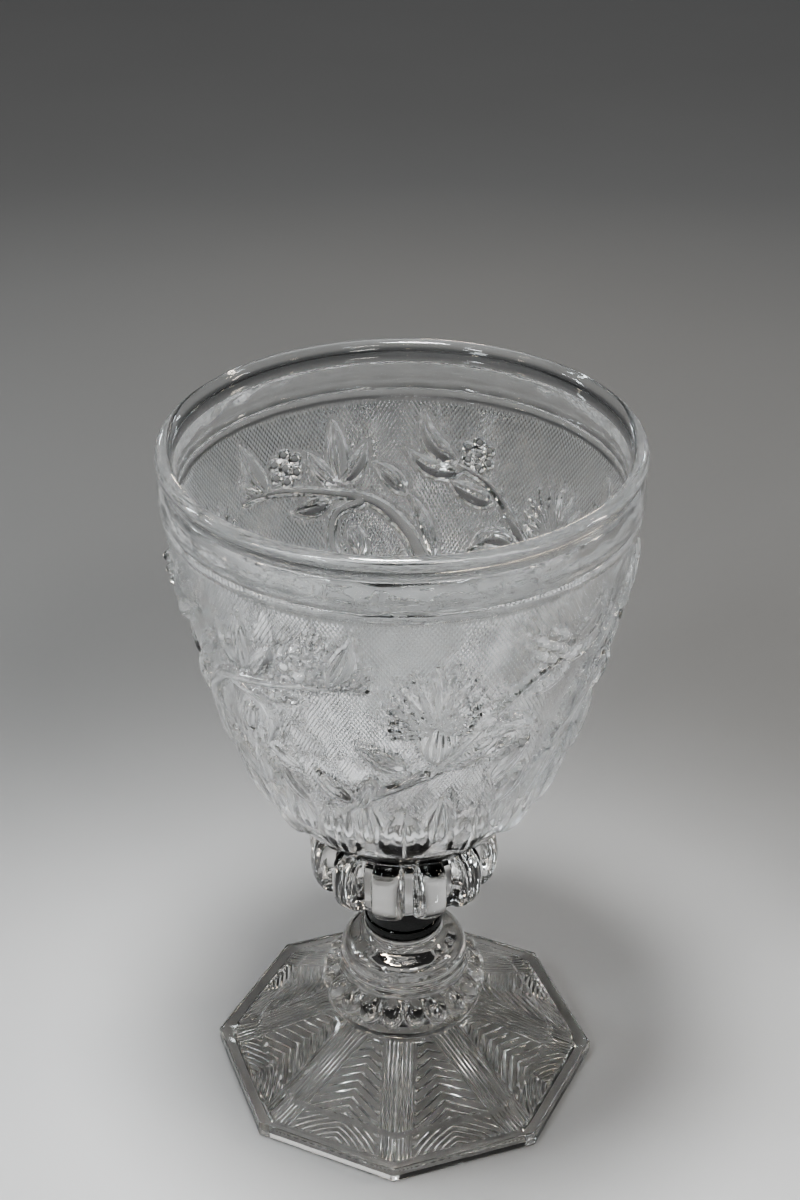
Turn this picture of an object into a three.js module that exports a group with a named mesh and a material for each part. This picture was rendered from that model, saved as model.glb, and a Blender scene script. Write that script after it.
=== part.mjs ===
// Pressed crystal goblet in millimetres, +Z up. The foot stands on z = 0, the axis is Z and one
// corner of the octagonal foot points along -Y. Bowl, knop and foot were pressed in moulds of
// their own and joined hot, through a wafer of glass above the knop and another below it.
import * as THREE from 'three';

// Bowl, from its seat up: ornamented ground, fillet, collar, groove and lip
const GROUND_HEIGHT = 75.5;
const FILLET_HEIGHT = 2.1;
const COLLAR_HEIGHT = 6;
const GROOVE_HEIGHT = 1.7;
const LIP_THICKNESS = 3.1;
const MOUTH_RADIUS = 45.9;
const GROOVE_DEPTH = 1.1;
const FILLET_INSET = 0.5;
const FILLET_SLOPE_HEIGHT = 0.25;
const GROUND_INSET = 0.9;
const WALL_THICKNESS = 3;
const FLOOR_THICKNESS = 6;

// The body's curve from the seat to the top of the ground: how far out and how far up its two
// control points lie, as shares of the way
const LOW_CONTROL = new THREE.Vector2(0.573, 0.032);
const HIGH_CONTROL = new THREE.Vector2(0.848, 0.641);

// How fast the wall thins from the floor up
const WALL_POWER = 3;

// Swell of the collar, bottom to top, as shares of the groove's depth and the collar's height
const COLLAR_OUTLINE = [[0, 0.15], [0.1, 0.5], [0.5, 0.85], [1, 1]];

// Wafers, which set the seats that they are squeezed between
const BOWL_WAFER_RADIUS = 12.2;
const BOWL_WAFER_THICKNESS = 2;
const STEM_RADIUS = 7.9;
const STEM_WAFER_THICKNESS = 2.4;
const WAFER_BULGE = 0.35;
const WAFER_BULGE_SHARE = 0.3;

// Knop: a neck under a wheel of lobes
const NECK_HEIGHT = 10.8;
const WHEEL_HEIGHT = 10.2;
const NECK_RADIUS = 7.6;
const CORE_RADIUS = 16.2;
const LOBE_DEPTH = 3.6;
const LOBE_COUNT = 12;
const LOBE_SHARE = 0.76;
const FIRST_LOBE_ANGLE = -8;
const LOBE_CLEARANCE = 0.6;
const LOBE_GAP_DIP = 2;
const KNOP_SEAT_MARGIN = 0.4;

// Outline of the knop, bottom to top. On the neck: shares of its height, of the way out to the
// core and of the lobes' depth. On the wheel: shares of its height, then of the lobes' depth for
// how far the core draws in and how far a lobe stands out.
const NECK_OUTLINE = [
  { rise: 0.3, out: 0, lobe: 0 },
  { rise: 0.62, out: 0.08, lobe: 0 },
  { rise: 0.86, out: 0.35, lobe: 0 },
  { rise: 1, out: 0.72, lobe: 0.1 },
];
const WHEEL_OUTLINE = [
  { rise: 0.1, inset: 0.08, lobe: 0.78 },
  { rise: 0.26, inset: 0, lobe: 0.96 },
  { rise: 0.52, inset: 0, lobe: 1 },
  { rise: 0.77, inset: 0.05, lobe: 0.96 },
  { rise: 0.92, inset: 0.16, lobe: 0.82 },
];
const LOBE_TOP = { inset: 0.36, lobe: 0.6 };

// Foot, from the table up: edge, dome, base ring, beads, bell and stem ring
const FOOT_EDGE_HEIGHT = 3.6;
const DOME_HEIGHT = 13.1;
const BASE_RING_HEIGHT = 2.1;
const BEAD_HEIGHT = 6.8;
const BELL_HEIGHT = 10.2;
const STEM_RING_HEIGHT = 0.4;
const FOOT_CORNER_RADIUS = 40.8;
const FOOT_CORNERS = 8;
const FOOT_EDGE_ROUNDING = 0.6;
const RESTING_RIM_WIDTH = 3;
const DOME_POWER = 1.25;
const BASE_RING_RADIUS = 16.5;
const BELL_RADIUS = 13.4;
const STEM_RING_PROJECTION = 0.3;
const BEAD_COUNT = 20;
const FIRST_BEAD_ANGLE = 12;
const BEAD_SEAT_STEP = 0.6;
const BEAD_SEAT_TAPER = 0.9;
const BEAD_PROJECTION = 3.1;
const BEAD_SQUEEZE = 0.96;

// Outline of the bell, bottom to top, as shares of the way out from the stem and of its height
const BELL_OUTLINE = [
  [1.07, 0.06],
  [1.05, 0.22],
  [0.98, 0.28],
  [1, 0.38],
  [0.85, 0.57],
  [0.5, 0.74],
  [0.12, 0.84],
  [0, 0.92],
];

// Hollow under the foot
const HOLLOW_STEP = 0.9;
const HOLLOW_STEP_SLOPE = 0.4;
const HOLLOW_TOP_RADIUS = 12;
const HOLLOW_ROOF_THICKNESS = 4.7;
const HOLLOW_CROWN = 1.6;
const HOLLOW_CROWN_SHOULDER = 0.75;

// Fineness of the surfaces
const RELIEF_SEGMENTS = 120;
const RELIEF_ROWS = 25;
const BAND_SEGMENTS = 60;
const INSIDE_SEGMENTS = 40;
const INSIDE_ROWS = 8;
const LIP_STEP = 45;
const WAFER_SEGMENTS = 40;
const SEGMENTS_PER_LOBE = 6;
const SEGMENTS_PER_BEAD = 6;
const BEAD_ROWS = 7;
const SEGMENTS_PER_SIDE = 5;
const CROWN_SEGMENTS_PER_SIDE = 3;
const DOME_ROWS = 5;
const MIDRIB_STEPS = 8;
const STEPS_PER_STEM_POINT = 4;
const PETAL_STEPS = 4;
const BISECTIONS = 24;

// Glass
const BOWL_COLOR = 0xdfe6ea;
const WAFER_COLOR = 0xe6e3dc;
const KNOP_COLOR = 0xe9e2d6;
const FOOT_COLOR = 0xe4dccf;
const GLASS_ROUGHNESS = 0.06;

// Ornament. One spray is repeated round the bowl. Its angles are degrees inside the repeat,
// counted to the right as seen from outside. Its heights, bows and widths are in drawing units,
// of which the ground is GROUND_UNITS high, and heights count from the seat.
const SPRAY_COUNT = 3;
const GROUND_UNITS = 75.5;
const LEAF_RISE = 2;
const STEM_RISE = 1.6;
const BERRY_RISE = 2;
const PETAL_RISE = 2.2;
const BASE_LEAF_RISE = 1.9;
const RELIEF_CLEARANCE = 0.3;

// Leaves, from stalk to tip: how far the midrib bows to its left, and half the leaf's width
const LEAVES = [
  { stalk: [47, 62.5], tip: [57, 73], bow: -2.6, halfWidth: 2.3 },
  { stalk: [45, 60.6], tip: [62, 65], bow: -2.4, halfWidth: 2.1 },
  { stalk: [35, 55], tip: [50, 58.4], bow: -0.6, halfWidth: 2.4 },
  { stalk: [21, 48.4], tip: [32, 54.4], bow: 0.3, halfWidth: 1.9 },
  { stalk: [23, 46.4], tip: [42, 43.6], bow: 3.4, halfWidth: 2.3 },
  { stalk: [53, 41], tip: [61, 55], bow: 1.2, halfWidth: 1.5 },
  { stalk: [62, 54.6], tip: [72, 62], bow: 0.6, halfWidth: 2.1 },
  { stalk: [81, 58], tip: [73, 66.4], bow: 0.8, halfWidth: 2.1 },
  { stalk: [81.5, 58.4], tip: [82.5, 72], bow: 0.3, halfWidth: 2.3 },
  { stalk: [83, 58], tip: [90.5, 66], bow: -0.5, halfWidth: 2 },
  { stalk: [85, 54.8], tip: [99, 54.4], bow: -0.5, halfWidth: 2 },
  { stalk: [80, 49], tip: [77, 41], bow: -0.8, halfWidth: 2 },
  { stalk: [105, 60], tip: [112, 72.6], bow: -0.8, halfWidth: 2.5 },
  { stalk: [107, 60.2], tip: [116, 65.4], bow: -0.6, halfWidth: 1.9 },
  { stalk: [4, 40], tip: [-9, 46.6], bow: 0.9, halfWidth: 2.6 },
  { stalk: [13, 40.6], tip: [31, 48.4], bow: -1.2, halfWidth: 3.2 },
  { stalk: [-12, 30], tip: [-23, 37.6], bow: 1, halfWidth: 2.8 },
  { stalk: [-10, 29], tip: [-6, 37.4], bow: -0.4, halfWidth: 2.3 },
  { stalk: [30, 34], tip: [41, 42.6], bow: 0.6, halfWidth: 2.7 },
  { stalk: [33, 27], tip: [42, 36], bow: -0.6, halfWidth: 2.6 },
  { stalk: [45, 24], tip: [53, 37.4], bow: 0.8, halfWidth: 3 },
  { stalk: [93, 36], tip: [81, 42], bow: 0.7, halfWidth: 2.5 },
  { stalk: [93, 27], tip: [85, 36.4], bow: 0.6, halfWidth: 2.7 },
  { stalk: [73, 28], tip: [63, 37.4], bow: 0.8, halfWidth: 2.7 },
  { stalk: [75, 27], tip: [77, 40], bow: -0.4, halfWidth: 2.4 },
];

// Stems, as the points they run through, with half their width at both ends
const STEMS = [
  {
    points: [[-16, 19], [-13, 28], [-5, 32.4], [8, 37.6], [20, 41.4], [33, 43.8]],
    halfWidths: [1.5, 0.8],
  },
  {
    points: [[12, 39.4], [20, 46.4], [28, 53], [37, 58.6], [47, 61.4]],
    halfWidths: [1.1, 0.7],
  },
  {
    points: [[50, 30], [56, 40.4], [62, 47.4], [72, 53.6], [86, 56.6], [102, 59.6], [115, 60.4]],
    halfWidths: [2, 0.6],
  },
  {
    points: [[76, 53.6], [84, 51.8], [86, 46], [83, 41]],
    halfWidths: [1.4, 0.8],
  },
  {
    points: [[82, 20], [84, 28], [80, 34]],
    halfWidths: [1.3, 0.8],
  },
  {
    points: [[40, 20], [42, 28], [36, 34]],
    halfWidths: [1.3, 0.8],
  },
];

// Round clusters: six berries about a seventh
const CLUSTERS = [
  { centre: [98, 63.8], berryRadius: 1.45, ringRadius: 2.9 },
  { centre: [41, 64.4], berryRadius: 1.35, ringRadius: 2.7 },
];
const BERRIES_PER_CLUSTER = 6;

// Large flower: two fans of petals over a calyx, longest where they stand upright
const FLOWER_CENTRE = [11.5, 51];
const OUTER_PETALS = { count: 15, spread: 214, sideLength: 8.6, uprightLength: 14.6, halfWidth: 1.05 };
const INNER_PETALS = { count: 9, spread: 150, sideLength: 6.8, uprightLength: 10.6, halfWidth: 0.95 };
const CALYX = { stalk: [12, 41.6], tip: [12.5, 53], bow: 0, halfWidth: 3 };

// Ring of broad leaves low on the bowl, over a smooth bottom
const BASE_LEAF_COUNT = 15;
const FIRST_BASE_LEAF_ANGLE = 3.5;
const BASE_LEAF_STALK = 12.5;
const BASE_LEAF_TIP = 28;
const BASE_LEAF_HALF_WIDTH = 5.2;

// Outline of a leaf: how bluntly it starts at the stalk and ends at the tip. A leaf is lower at
// its ends than at its middle.
const LEAF_SHAPE = { stalk: 0.6, tip: 0.9 };
const BASE_LEAF_SHAPE = { stalk: 0.3, tip: 0.8 };
const LEAF_END_RISE = 0.5;

const DEGREES = Math.PI / 180;
const footHeight = FOOT_EDGE_HEIGHT + DOME_HEIGHT + BASE_RING_HEIGHT + BEAD_HEIGHT
  + BELL_HEIGHT + STEM_RING_HEIGHT;
const knopHeight = NECK_HEIGHT + WHEEL_HEIGHT;
const knopBottom = footHeight + STEM_WAFER_THICKNESS;
const bowlWaferBottom = knopBottom + knopHeight;
const bowlBottom = bowlWaferBottom + BOWL_WAFER_THICKNESS;
const collarBottom = GROUND_HEIGHT + FILLET_HEIGHT;
const collarTop = collarBottom + COLLAR_HEIGHT;
const groundTopRadius = MOUTH_RADIUS - GROUND_INSET;
const unit = GROUND_HEIGHT / GROUND_UNITS;

// A closed ring of points about the axis. shape gives the radius and height at an angle in
// degrees, counted from -Y towards +X, and the first point lies at start.
function ring(count, shape, start = 0) {
  const points = [];
  for (let i = 0; i < count; i++) {
    const angle = start + (360 * i) / count;
    const [radius, z] = shape(angle);
    const x = radius * Math.sin(angle * DEGREES);
    const y = -radius * Math.cos(angle * DEGREES);
    points.push(new THREE.Vector3(x, y, z));
  }
  return points;
}

const circle = (count, radius, z) => ring(count, () => [radius, z]);
const apex = (z) => [new THREE.Vector3(0, 0, z)];

// Triangles between two neighbouring rings, which may have different numbers of points
function stitch(triangles, low, lowCount, high, highCount) {
  const lowSteps = lowCount > 1 ? lowCount : 0;
  const highSteps = highCount > 1 ? highCount : 0;
  let i = 0;
  let j = 0;
  while (i < lowSteps || j < highSteps) {
    const a = low + (i % lowCount);
    const c = high + (j % highCount);
    const lowNext = lowSteps > 0 ? (i + 1) / lowSteps : Infinity;
    const highNext = highSteps > 0 ? (j + 1) / highSteps : Infinity;
    if (i < lowSteps && (j >= highSteps || lowNext <= highNext)) {
      i += 1;
      triangles.push(a, low + (i % lowCount), c);
    } else {
      j += 1;
      triangles.push(a, high + (j % highCount), c);
    }
  }
}

// A closed surface through rings, given from the lower end of the axis over the outside to the
// other end, where both ends are single points on the axis
function skin(rings) {
  const positions = [];
  const starts = [];
  for (const points of rings) {
    starts.push(positions.length / 3);
    for (const point of points) positions.push(point.x, point.y, point.z);
  }
  const triangles = [];
  for (let k = 0; k + 1 < rings.length; k++) {
    stitch(triangles, starts[k], rings[k].length, starts[k + 1], rings[k + 1].length);
  }
  const geometry = new THREE.BufferGeometry();
  geometry.setAttribute('position', new THREE.Float32BufferAttribute(positions, 3));
  geometry.setIndex(triangles);
  geometry.computeVertexNormals();
  return geometry;
}

function glassPiece(name, geometry, color) {
  const material = new THREE.MeshStandardMaterial({
    color,
    roughness: GLASS_ROUGHNESS,
    metalness: 0,
  });
  const mesh = new THREE.Mesh(geometry, material);
  mesh.name = name;
  return mesh;
}

// The body's outside, from the edge of the seat to the top of the diamond ground, in the bowl's
// own frame with its seat at z = 0
const reach = groundTopRadius - BOWL_WAFER_RADIUS;
const bodyPoint = (share) => new THREE.Vector2(
  BOWL_WAFER_RADIUS + share.x * reach,
  share.y * GROUND_HEIGHT,
);
const bodyCurve = new THREE.CubicBezierCurve(
  bodyPoint(new THREE.Vector2(0, 0)),
  bodyPoint(LOW_CONTROL),
  bodyPoint(HIGH_CONTROL),
  bodyPoint(new THREE.Vector2(1, 1)),
);
const bodyLength = bodyCurve.getLength();

// The share of the way up the wall where its radius (x) or its height (y) reaches a value
function wallShare(axis, value) {
  let low = 0;
  let high = 1;
  for (let step = 0; step < BISECTIONS; step++) {
    const middle = (low + high) / 2;
    if (bodyCurve.getPointAt(middle)[axis] < value) low = middle;
    else high = middle;
  }
  return low;
}

const undersideHeight = (radius) => bodyCurve.getPointAt(wallShare('x', radius)).y;

// A drawn place as its angle and its distance along the wall
function wallPoint([angle, height]) {
  return new THREE.Vector2(angle, wallShare('y', height * unit) * bodyLength);
}

// A midrib bowed to its left, as points of angle and distance along the wall
function midrib({ stalk, tip, bow }) {
  const start = wallPoint(stalk);
  const end = wallPoint(tip);
  const radius = bodyCurve.getPointAt((start.y + end.y) / 2 / bodyLength).x;
  const degreesPerMillimetre = 1 / (DEGREES * radius);
  const run = new THREE.Vector2((end.x - start.x) / degreesPerMillimetre, end.y - start.y);
  run.normalize();
  const middle = start.clone().add(end).multiplyScalar(0.5);
  middle.x -= 2 * bow * unit * run.y * degreesPerMillimetre;
  middle.y += 2 * bow * unit * run.x;
  return new THREE.QuadraticBezierCurve(start, middle, end).getPoints(MIDRIB_STEPS);
}

function stemLine(points) {
  const curve = new THREE.SplineCurve(points.map(wallPoint));
  return curve.getPoints(points.length * STEPS_PER_STEM_POINT);
}

// Nearest place on a line of points, as its share of the way along and its distance in mm
function nearestOnLine(line, angle, distance, radius) {
  let best = { share: 0, gap: Infinity };
  for (let k = 0; k + 1 < line.length; k++) {
    const ax = (line[k].x - angle) * DEGREES * radius;
    const ay = line[k].y - distance;
    const bx = (line[k + 1].x - angle) * DEGREES * radius;
    const by = line[k + 1].y - distance;
    const dx = bx - ax;
    const dy = by - ay;
    const t = THREE.MathUtils.clamp(-(ax * dx + ay * dy) / (dx * dx + dy * dy), 0, 1);
    const gap = Math.hypot(ax + t * dx, ay + t * dy);
    if (gap < best.gap) best = { share: (k + t) / (line.length - 1), gap };
  }
  return best;
}

// Cross section: how fully the glass stands over the ground at a gap from the midline
const dome = (gap, halfWidth) => Math.sqrt(Math.max(0, 1 - (gap / halfWidth) ** 2));

// A leaf's half width at a share of its length, where 1 is its widest
function leafTaper(shape, share) {
  const outline = (t) => t ** shape.stalk * (1 - t) ** shape.tip;
  return outline(share) / outline(shape.stalk / (shape.stalk + shape.tip));
}

function leafHeight(leaf, angle, distance, radius) {
  const { share, gap } = nearestOnLine(leaf.line, angle, distance, radius);
  const taper = leafTaper(leaf.shape, share);
  const halfWidth = leaf.halfWidth * unit * taper;
  if (gap >= halfWidth) return 0;
  return leaf.rise * THREE.MathUtils.lerp(LEAF_END_RISE, 1, taper) * dome(gap, halfWidth);
}

function stemHeight(stem, angle, distance, radius) {
  const { share, gap } = nearestOnLine(stem.line, angle, distance, radius);
  const halfWidth = THREE.MathUtils.lerp(stem.halfWidths[0], stem.halfWidths[1], share);
  return STEM_RISE * dome(gap, halfWidth * unit);
}

function berryHeight(berry, angle, distance, radius) {
  const gap = Math.hypot((berry.x - angle) * DEGREES * radius, berry.y - distance);
  return BERRY_RISE * dome(gap, berry.radius);
}

// The places of a cluster's berries, as angles and distances along the wall
function clusterBerries({ centre, berryRadius, ringRadius }) {
  const middle = wallPoint(centre);
  const wallRadius = bodyCurve.getPointAt(middle.y / bodyLength).x;
  const radius = berryRadius * unit;
  const out = ringRadius * unit;
  const berries = [{ x: middle.x, y: middle.y, radius }];
  for (let k = 0; k < BERRIES_PER_CLUSTER; k++) {
    const turn = (2 * Math.PI * k) / BERRIES_PER_CLUSTER;
    const x = middle.x + (out * Math.sin(turn)) / (DEGREES * wallRadius);
    berries.push({ x, y: middle.y + out * Math.cos(turn), radius });
  }
  return berries;
}

// A fan of petals about the flower's centre
function petalFan({ count, spread, sideLength, uprightLength, halfWidth }) {
  const centre = wallPoint(FLOWER_CENTRE);
  const radius = bodyCurve.getPointAt(centre.y / bodyLength).x;
  const petals = [];
  for (let k = 0; k < count; k++) {
    const turn = DEGREES * spread * (k / (count - 1) - 0.5);
    const upright = Math.max(0, Math.cos(turn)) ** 2;
    const length = THREE.MathUtils.lerp(sideLength, uprightLength, upright);
    const line = [];
    for (let step = 0; step <= PETAL_STEPS; step++) {
      const out = (length * unit * step) / PETAL_STEPS;
      const x = centre.x + (out * Math.sin(turn)) / (DEGREES * radius);
      line.push(new THREE.Vector2(x, centre.y + out * Math.cos(turn)));
    }
    petals.push({ line, halfWidth, rise: PETAL_RISE, shape: LEAF_SHAPE });
  }
  return petals;
}

function drawnLeaf(leaf, rise, shape) {
  return { line: midrib(leaf), halfWidth: leaf.halfWidth, rise, shape };
}

function baseLeaves() {
  const pitch = 360 / BASE_LEAF_COUNT;
  const leaves = [];
  for (let k = 0; k < BASE_LEAF_COUNT; k++) {
    const angle = FIRST_BASE_LEAF_ANGLE + pitch * k;
    const stalk = [angle, BASE_LEAF_STALK];
    const tip = [angle, BASE_LEAF_TIP];
    const leaf = { stalk, tip, bow: 0, halfWidth: BASE_LEAF_HALF_WIDTH };
    leaves.push(drawnLeaf(leaf, BASE_LEAF_RISE, BASE_LEAF_SHAPE));
  }
  return leaves;
}

const sprayLeaves = LEAVES.map((leaf) => drawnLeaf(leaf, LEAF_RISE, LEAF_SHAPE));
sprayLeaves.push(drawnLeaf(CALYX, PETAL_RISE, LEAF_SHAPE));
sprayLeaves.push(...petalFan(OUTER_PETALS), ...petalFan(INNER_PETALS));
const sprayStems = STEMS.map((stem) => ({ ...stem, line: stemLine(stem.points) }));
const sprayBerries = CLUSTERS.flatMap(clusterBerries);
const bottomLeaves = baseLeaves();

// The tallest of some raised forms at a place, also where one reaches over the end of a repeat
function tallest(forms, heightOf, repeat, angle, distance, radius) {
  let height = 0;
  for (const turn of [-1, 0, 1]) {
    const inside = (angle % repeat) + turn * repeat;
    for (const form of forms) {
      height = Math.max(height, heightOf(form, inside, distance, radius));
    }
  }
  return height;
}

// Height of the ornament over the ground
function relief(angle, distance, radius) {
  const repeat = 360 / SPRAY_COUNT;
  return Math.max(
    tallest(sprayLeaves, leafHeight, repeat, angle, distance, radius),
    tallest(sprayStems, stemHeight, repeat, angle, distance, radius),
    tallest(sprayBerries, berryHeight, repeat, angle, distance, radius),
    tallest(bottomLeaves, leafHeight, 360, angle, distance, radius),
  );
}

// The outward normal of the body's outline
function bodyNormal(share) {
  const tangent = bodyCurve.getTangentAt(share);
  return new THREE.Vector2(tangent.y, -tangent.x);
}

// One ring of the ornamented wall. No ornament stands out as far as the collar.
function reliefRing(share) {
  const base = bodyCurve.getPointAt(share);
  const normal = bodyNormal(share);
  const limit = MOUTH_RADIUS - RELIEF_CLEARANCE;
  return ring(RELIEF_SEGMENTS, (angle) => {
    const height = relief(angle, share * bodyLength, base.x);
    const radius = Math.min(base.x + height * normal.x, limit);
    return [radius, bowlBottom + base.y + height * normal.y];
  });
}

// The plain band: fillet, collar, groove and the rounded lip, in the bowl's own frame
function bandProfile() {
  const filletRadius = MOUTH_RADIUS - FILLET_INSET;
  const profile = [
    [filletRadius, GROUND_HEIGHT + FILLET_SLOPE_HEIGHT],
    [filletRadius, collarBottom],
  ];
  for (const [inset, rise] of COLLAR_OUTLINE) {
    profile.push([MOUTH_RADIUS - inset * GROOVE_DEPTH, collarBottom + rise * COLLAR_HEIGHT]);
  }
  const half = LIP_THICKNESS / 2;
  const lipCentreHeight = collarTop + GROOVE_HEIGHT + half;
  for (let angle = -LIP_STEP; angle <= 180; angle += LIP_STEP) {
    const radius = MOUTH_RADIUS - half + half * Math.cos(angle * DEGREES);
    profile.push([radius, lipCentreHeight + half * Math.sin(angle * DEGREES)]);
  }
  return profile;
}

// The smooth inside, from the top of the ground down to the floor
function insideProfile() {
  const profile = [];
  for (let row = 0; row <= INSIDE_ROWS; row++) {
    const share = 1 - row / INSIDE_ROWS;
    const point = bodyCurve.getPointAt(share);
    const normal = bodyNormal(share);
    const toFloor = (1 - share) ** WALL_POWER;
    const thickness = THREE.MathUtils.lerp(WALL_THICKNESS, FLOOR_THICKNESS, toFloor);
    profile.push([point.x - thickness * normal.x, point.y - thickness * normal.y]);
  }
  return profile;
}

function makeBowl() {
  const rings = [apex(bowlBottom), circle(BAND_SEGMENTS, BOWL_WAFER_RADIUS, bowlBottom)];
  for (let row = 1; row < RELIEF_ROWS; row++) rings.push(reliefRing(row / RELIEF_ROWS));
  rings.push(circle(BAND_SEGMENTS, groundTopRadius, bowlBottom + GROUND_HEIGHT));
  for (const [radius, height] of bandProfile()) {
    rings.push(circle(BAND_SEGMENTS, radius, bowlBottom + height));
  }
  for (const [radius, height] of insideProfile()) {
    rings.push(circle(INSIDE_SEGMENTS, radius, bowlBottom + height));
  }
  rings.push(apex(bowlBottom + FLOOR_THICKNESS));
  return glassPiece('bowl', skin(rings), BOWL_COLOR);
}

// A flat disc of glass with a slightly swollen edge, squeezed between two seats
function makeWafer(name, radius, bottom, thickness) {
  const swollen = radius + WAFER_BULGE;
  const top = bottom + thickness;
  const margin = WAFER_BULGE_SHARE * thickness;
  const rings = [
    apex(bottom),
    circle(WAFER_SEGMENTS, radius, bottom),
    circle(WAFER_SEGMENTS, swollen, bottom + margin),
    circle(WAFER_SEGMENTS, swollen, top - margin),
    circle(WAFER_SEGMENTS, radius, top),
    apex(top),
  ];
  return glassPiece(name, skin(rings), WAFER_COLOR);
}

// The knop's rings, bottom to top: its radius between the lobes, how far a lobe stands out and
// how far the ring dips between lobes. The lobes end just under the bowl.
function knopOutline() {
  const rows = [{ height: 0, radius: STEM_RADIUS, lobe: 0, dip: 0 }];
  for (const { rise, out, lobe } of NECK_OUTLINE) {
    const radius = THREE.MathUtils.lerp(NECK_RADIUS, CORE_RADIUS, out);
    rows.push({ height: rise * NECK_HEIGHT, radius, lobe: lobe * LOBE_DEPTH, dip: 0 });
  }
  const topRadius = CORE_RADIUS - LOBE_TOP.inset * LOBE_DEPTH;
  const topLobe = LOBE_TOP.lobe * LOBE_DEPTH;
  const bowlUnderside = knopHeight + BOWL_WAFER_THICKNESS + undersideHeight(topRadius + topLobe);
  const topHeight = bowlUnderside - LOBE_CLEARANCE;
  for (const { rise, inset, lobe } of WHEEL_OUTLINE) {
    const height = THREE.MathUtils.lerp(NECK_HEIGHT, topHeight, rise);
    const radius = CORE_RADIUS - inset * LOBE_DEPTH;
    rows.push({ height, radius, lobe: lobe * LOBE_DEPTH, dip: 0 });
  }
  rows.push({ height: topHeight, radius: topRadius, lobe: topLobe, dip: LOBE_GAP_DIP });
  const seatRadius = BOWL_WAFER_RADIUS + KNOP_SEAT_MARGIN;
  rows.push({ height: knopHeight, radius: seatRadius, lobe: 0, dip: 0 });
  return rows;
}

// How fully a lobe stands out at an angle: flat across its face, rounded at its sides
function lobeShare(angle) {
  const pitch = 360 / LOBE_COUNT;
  const turned = angle - FIRST_LOBE_ANGLE;
  const offset = turned - pitch * Math.round(turned / pitch);
  const across = Math.abs(offset) / (0.5 * pitch * LOBE_SHARE);
  return Math.sqrt(Math.max(0, 1 - across ** 4));
}

function makeKnop() {
  const count = LOBE_COUNT * SEGMENTS_PER_LOBE;
  const rings = [apex(knopBottom)];
  for (const { height, radius, lobe, dip } of knopOutline()) {
    const shape = (angle) => {
      const share = lobeShare(angle);
      return [radius + lobe * share, knopBottom + height - dip * (1 - share)];
    };
    rings.push(ring(count, shape, FIRST_LOBE_ANGLE));
  }
  rings.push(apex(bowlWaferBottom));
  return glassPiece('knop', skin(rings), KNOP_COLOR);
}

// Radius of the octagon at an angle, as a share of the radius of its corners
function octagonShare(angle) {
  const side = 360 / FOOT_CORNERS;
  const fromMiddle = (angle % side) - side / 2;
  return Math.cos((side / 2) * DEGREES) / Math.cos(fromMiddle * DEGREES);
}

const footSegments = FOOT_CORNERS * SEGMENTS_PER_SIDE;
const footEdgeRadius = FOOT_CORNER_RADIUS - FOOT_EDGE_ROUNDING;
const ringBottom = FOOT_EDGE_HEIGHT + DOME_HEIGHT;
const beadBottom = ringBottom + BASE_RING_HEIGHT;
const bellBottom = beadBottom + BEAD_HEIGHT;
const bellTop = bellBottom + BELL_HEIGHT;
const beadSeatRadius = BELL_RADIUS + BEAD_SEAT_STEP;

function octagon(cornerRadius, z) {
  return ring(footSegments, (angle) => [cornerRadius * octagonShare(angle), z]);
}

// Hollow underside, from its crown to the inside of the rim that the foot rests on
function hollowRings() {
  const top = ringBottom - HOLLOW_ROOF_THICKNESS;
  const crownSegments = FOOT_CORNERS * CROWN_SEGMENTS_PER_SIDE;
  const rimInside = footEdgeRadius - RESTING_RIM_WIDTH;
  return [
    apex(top + HOLLOW_CROWN),
    circle(crownSegments, HOLLOW_TOP_RADIUS / 2, top + HOLLOW_CROWN_SHOULDER * HOLLOW_CROWN),
    circle(footSegments, HOLLOW_TOP_RADIUS, top),
    octagon(rimInside - HOLLOW_STEP_SLOPE, HOLLOW_STEP),
    octagon(rimInside, 0),
  ];
}

function edgeRings() {
  return [
    octagon(footEdgeRadius, 0),
    octagon(FOOT_CORNER_RADIUS, FOOT_EDGE_ROUNDING),
    octagon(FOOT_CORNER_RADIUS, FOOT_EDGE_HEIGHT - FOOT_EDGE_ROUNDING),
    octagon(footEdgeRadius, FOOT_EDGE_HEIGHT),
  ];
}

// Domed top, from the octagon in to the base ring
function domeRings() {
  const rings = [];
  for (let row = 1; row <= DOME_ROWS; row++) {
    const inward = row / DOME_ROWS;
    const z = FOOT_EDGE_HEIGHT + DOME_HEIGHT * inward ** DOME_POWER;
    const shape = (angle) => {
      const outer = footEdgeRadius * octagonShare(angle);
      return [THREE.MathUtils.lerp(outer, BASE_RING_RADIUS, inward), z];
    };
    rings.push(ring(footSegments, shape));
  }
  return rings;
}

// How far a bead stands out at an angle and a share of the beads' height
function beadProjection(angle, rise) {
  const pitch = 360 / BEAD_COUNT;
  const turned = (angle - FIRST_BEAD_ANGLE) / pitch;
  const across = 2 * BEAD_SQUEEZE * (turned - Math.round(turned));
  const up = 2 * rise - 1;
  return BEAD_PROJECTION * Math.sqrt(Math.max(0, 1 - up * up - across * across));
}

// Beads, on a slightly conical seat
function beadRings() {
  const rings = [];
  for (let row = 1; row < BEAD_ROWS; row++) {
    const rise = row / BEAD_ROWS;
    const seat = beadSeatRadius + BEAD_SEAT_TAPER * (1 - rise);
    const z = beadBottom + rise * BEAD_HEIGHT;
    const shape = (angle) => [seat + beadProjection(angle, rise), z];
    rings.push(ring(BEAD_COUNT * SEGMENTS_PER_BEAD, shape));
  }
  return rings;
}

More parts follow.
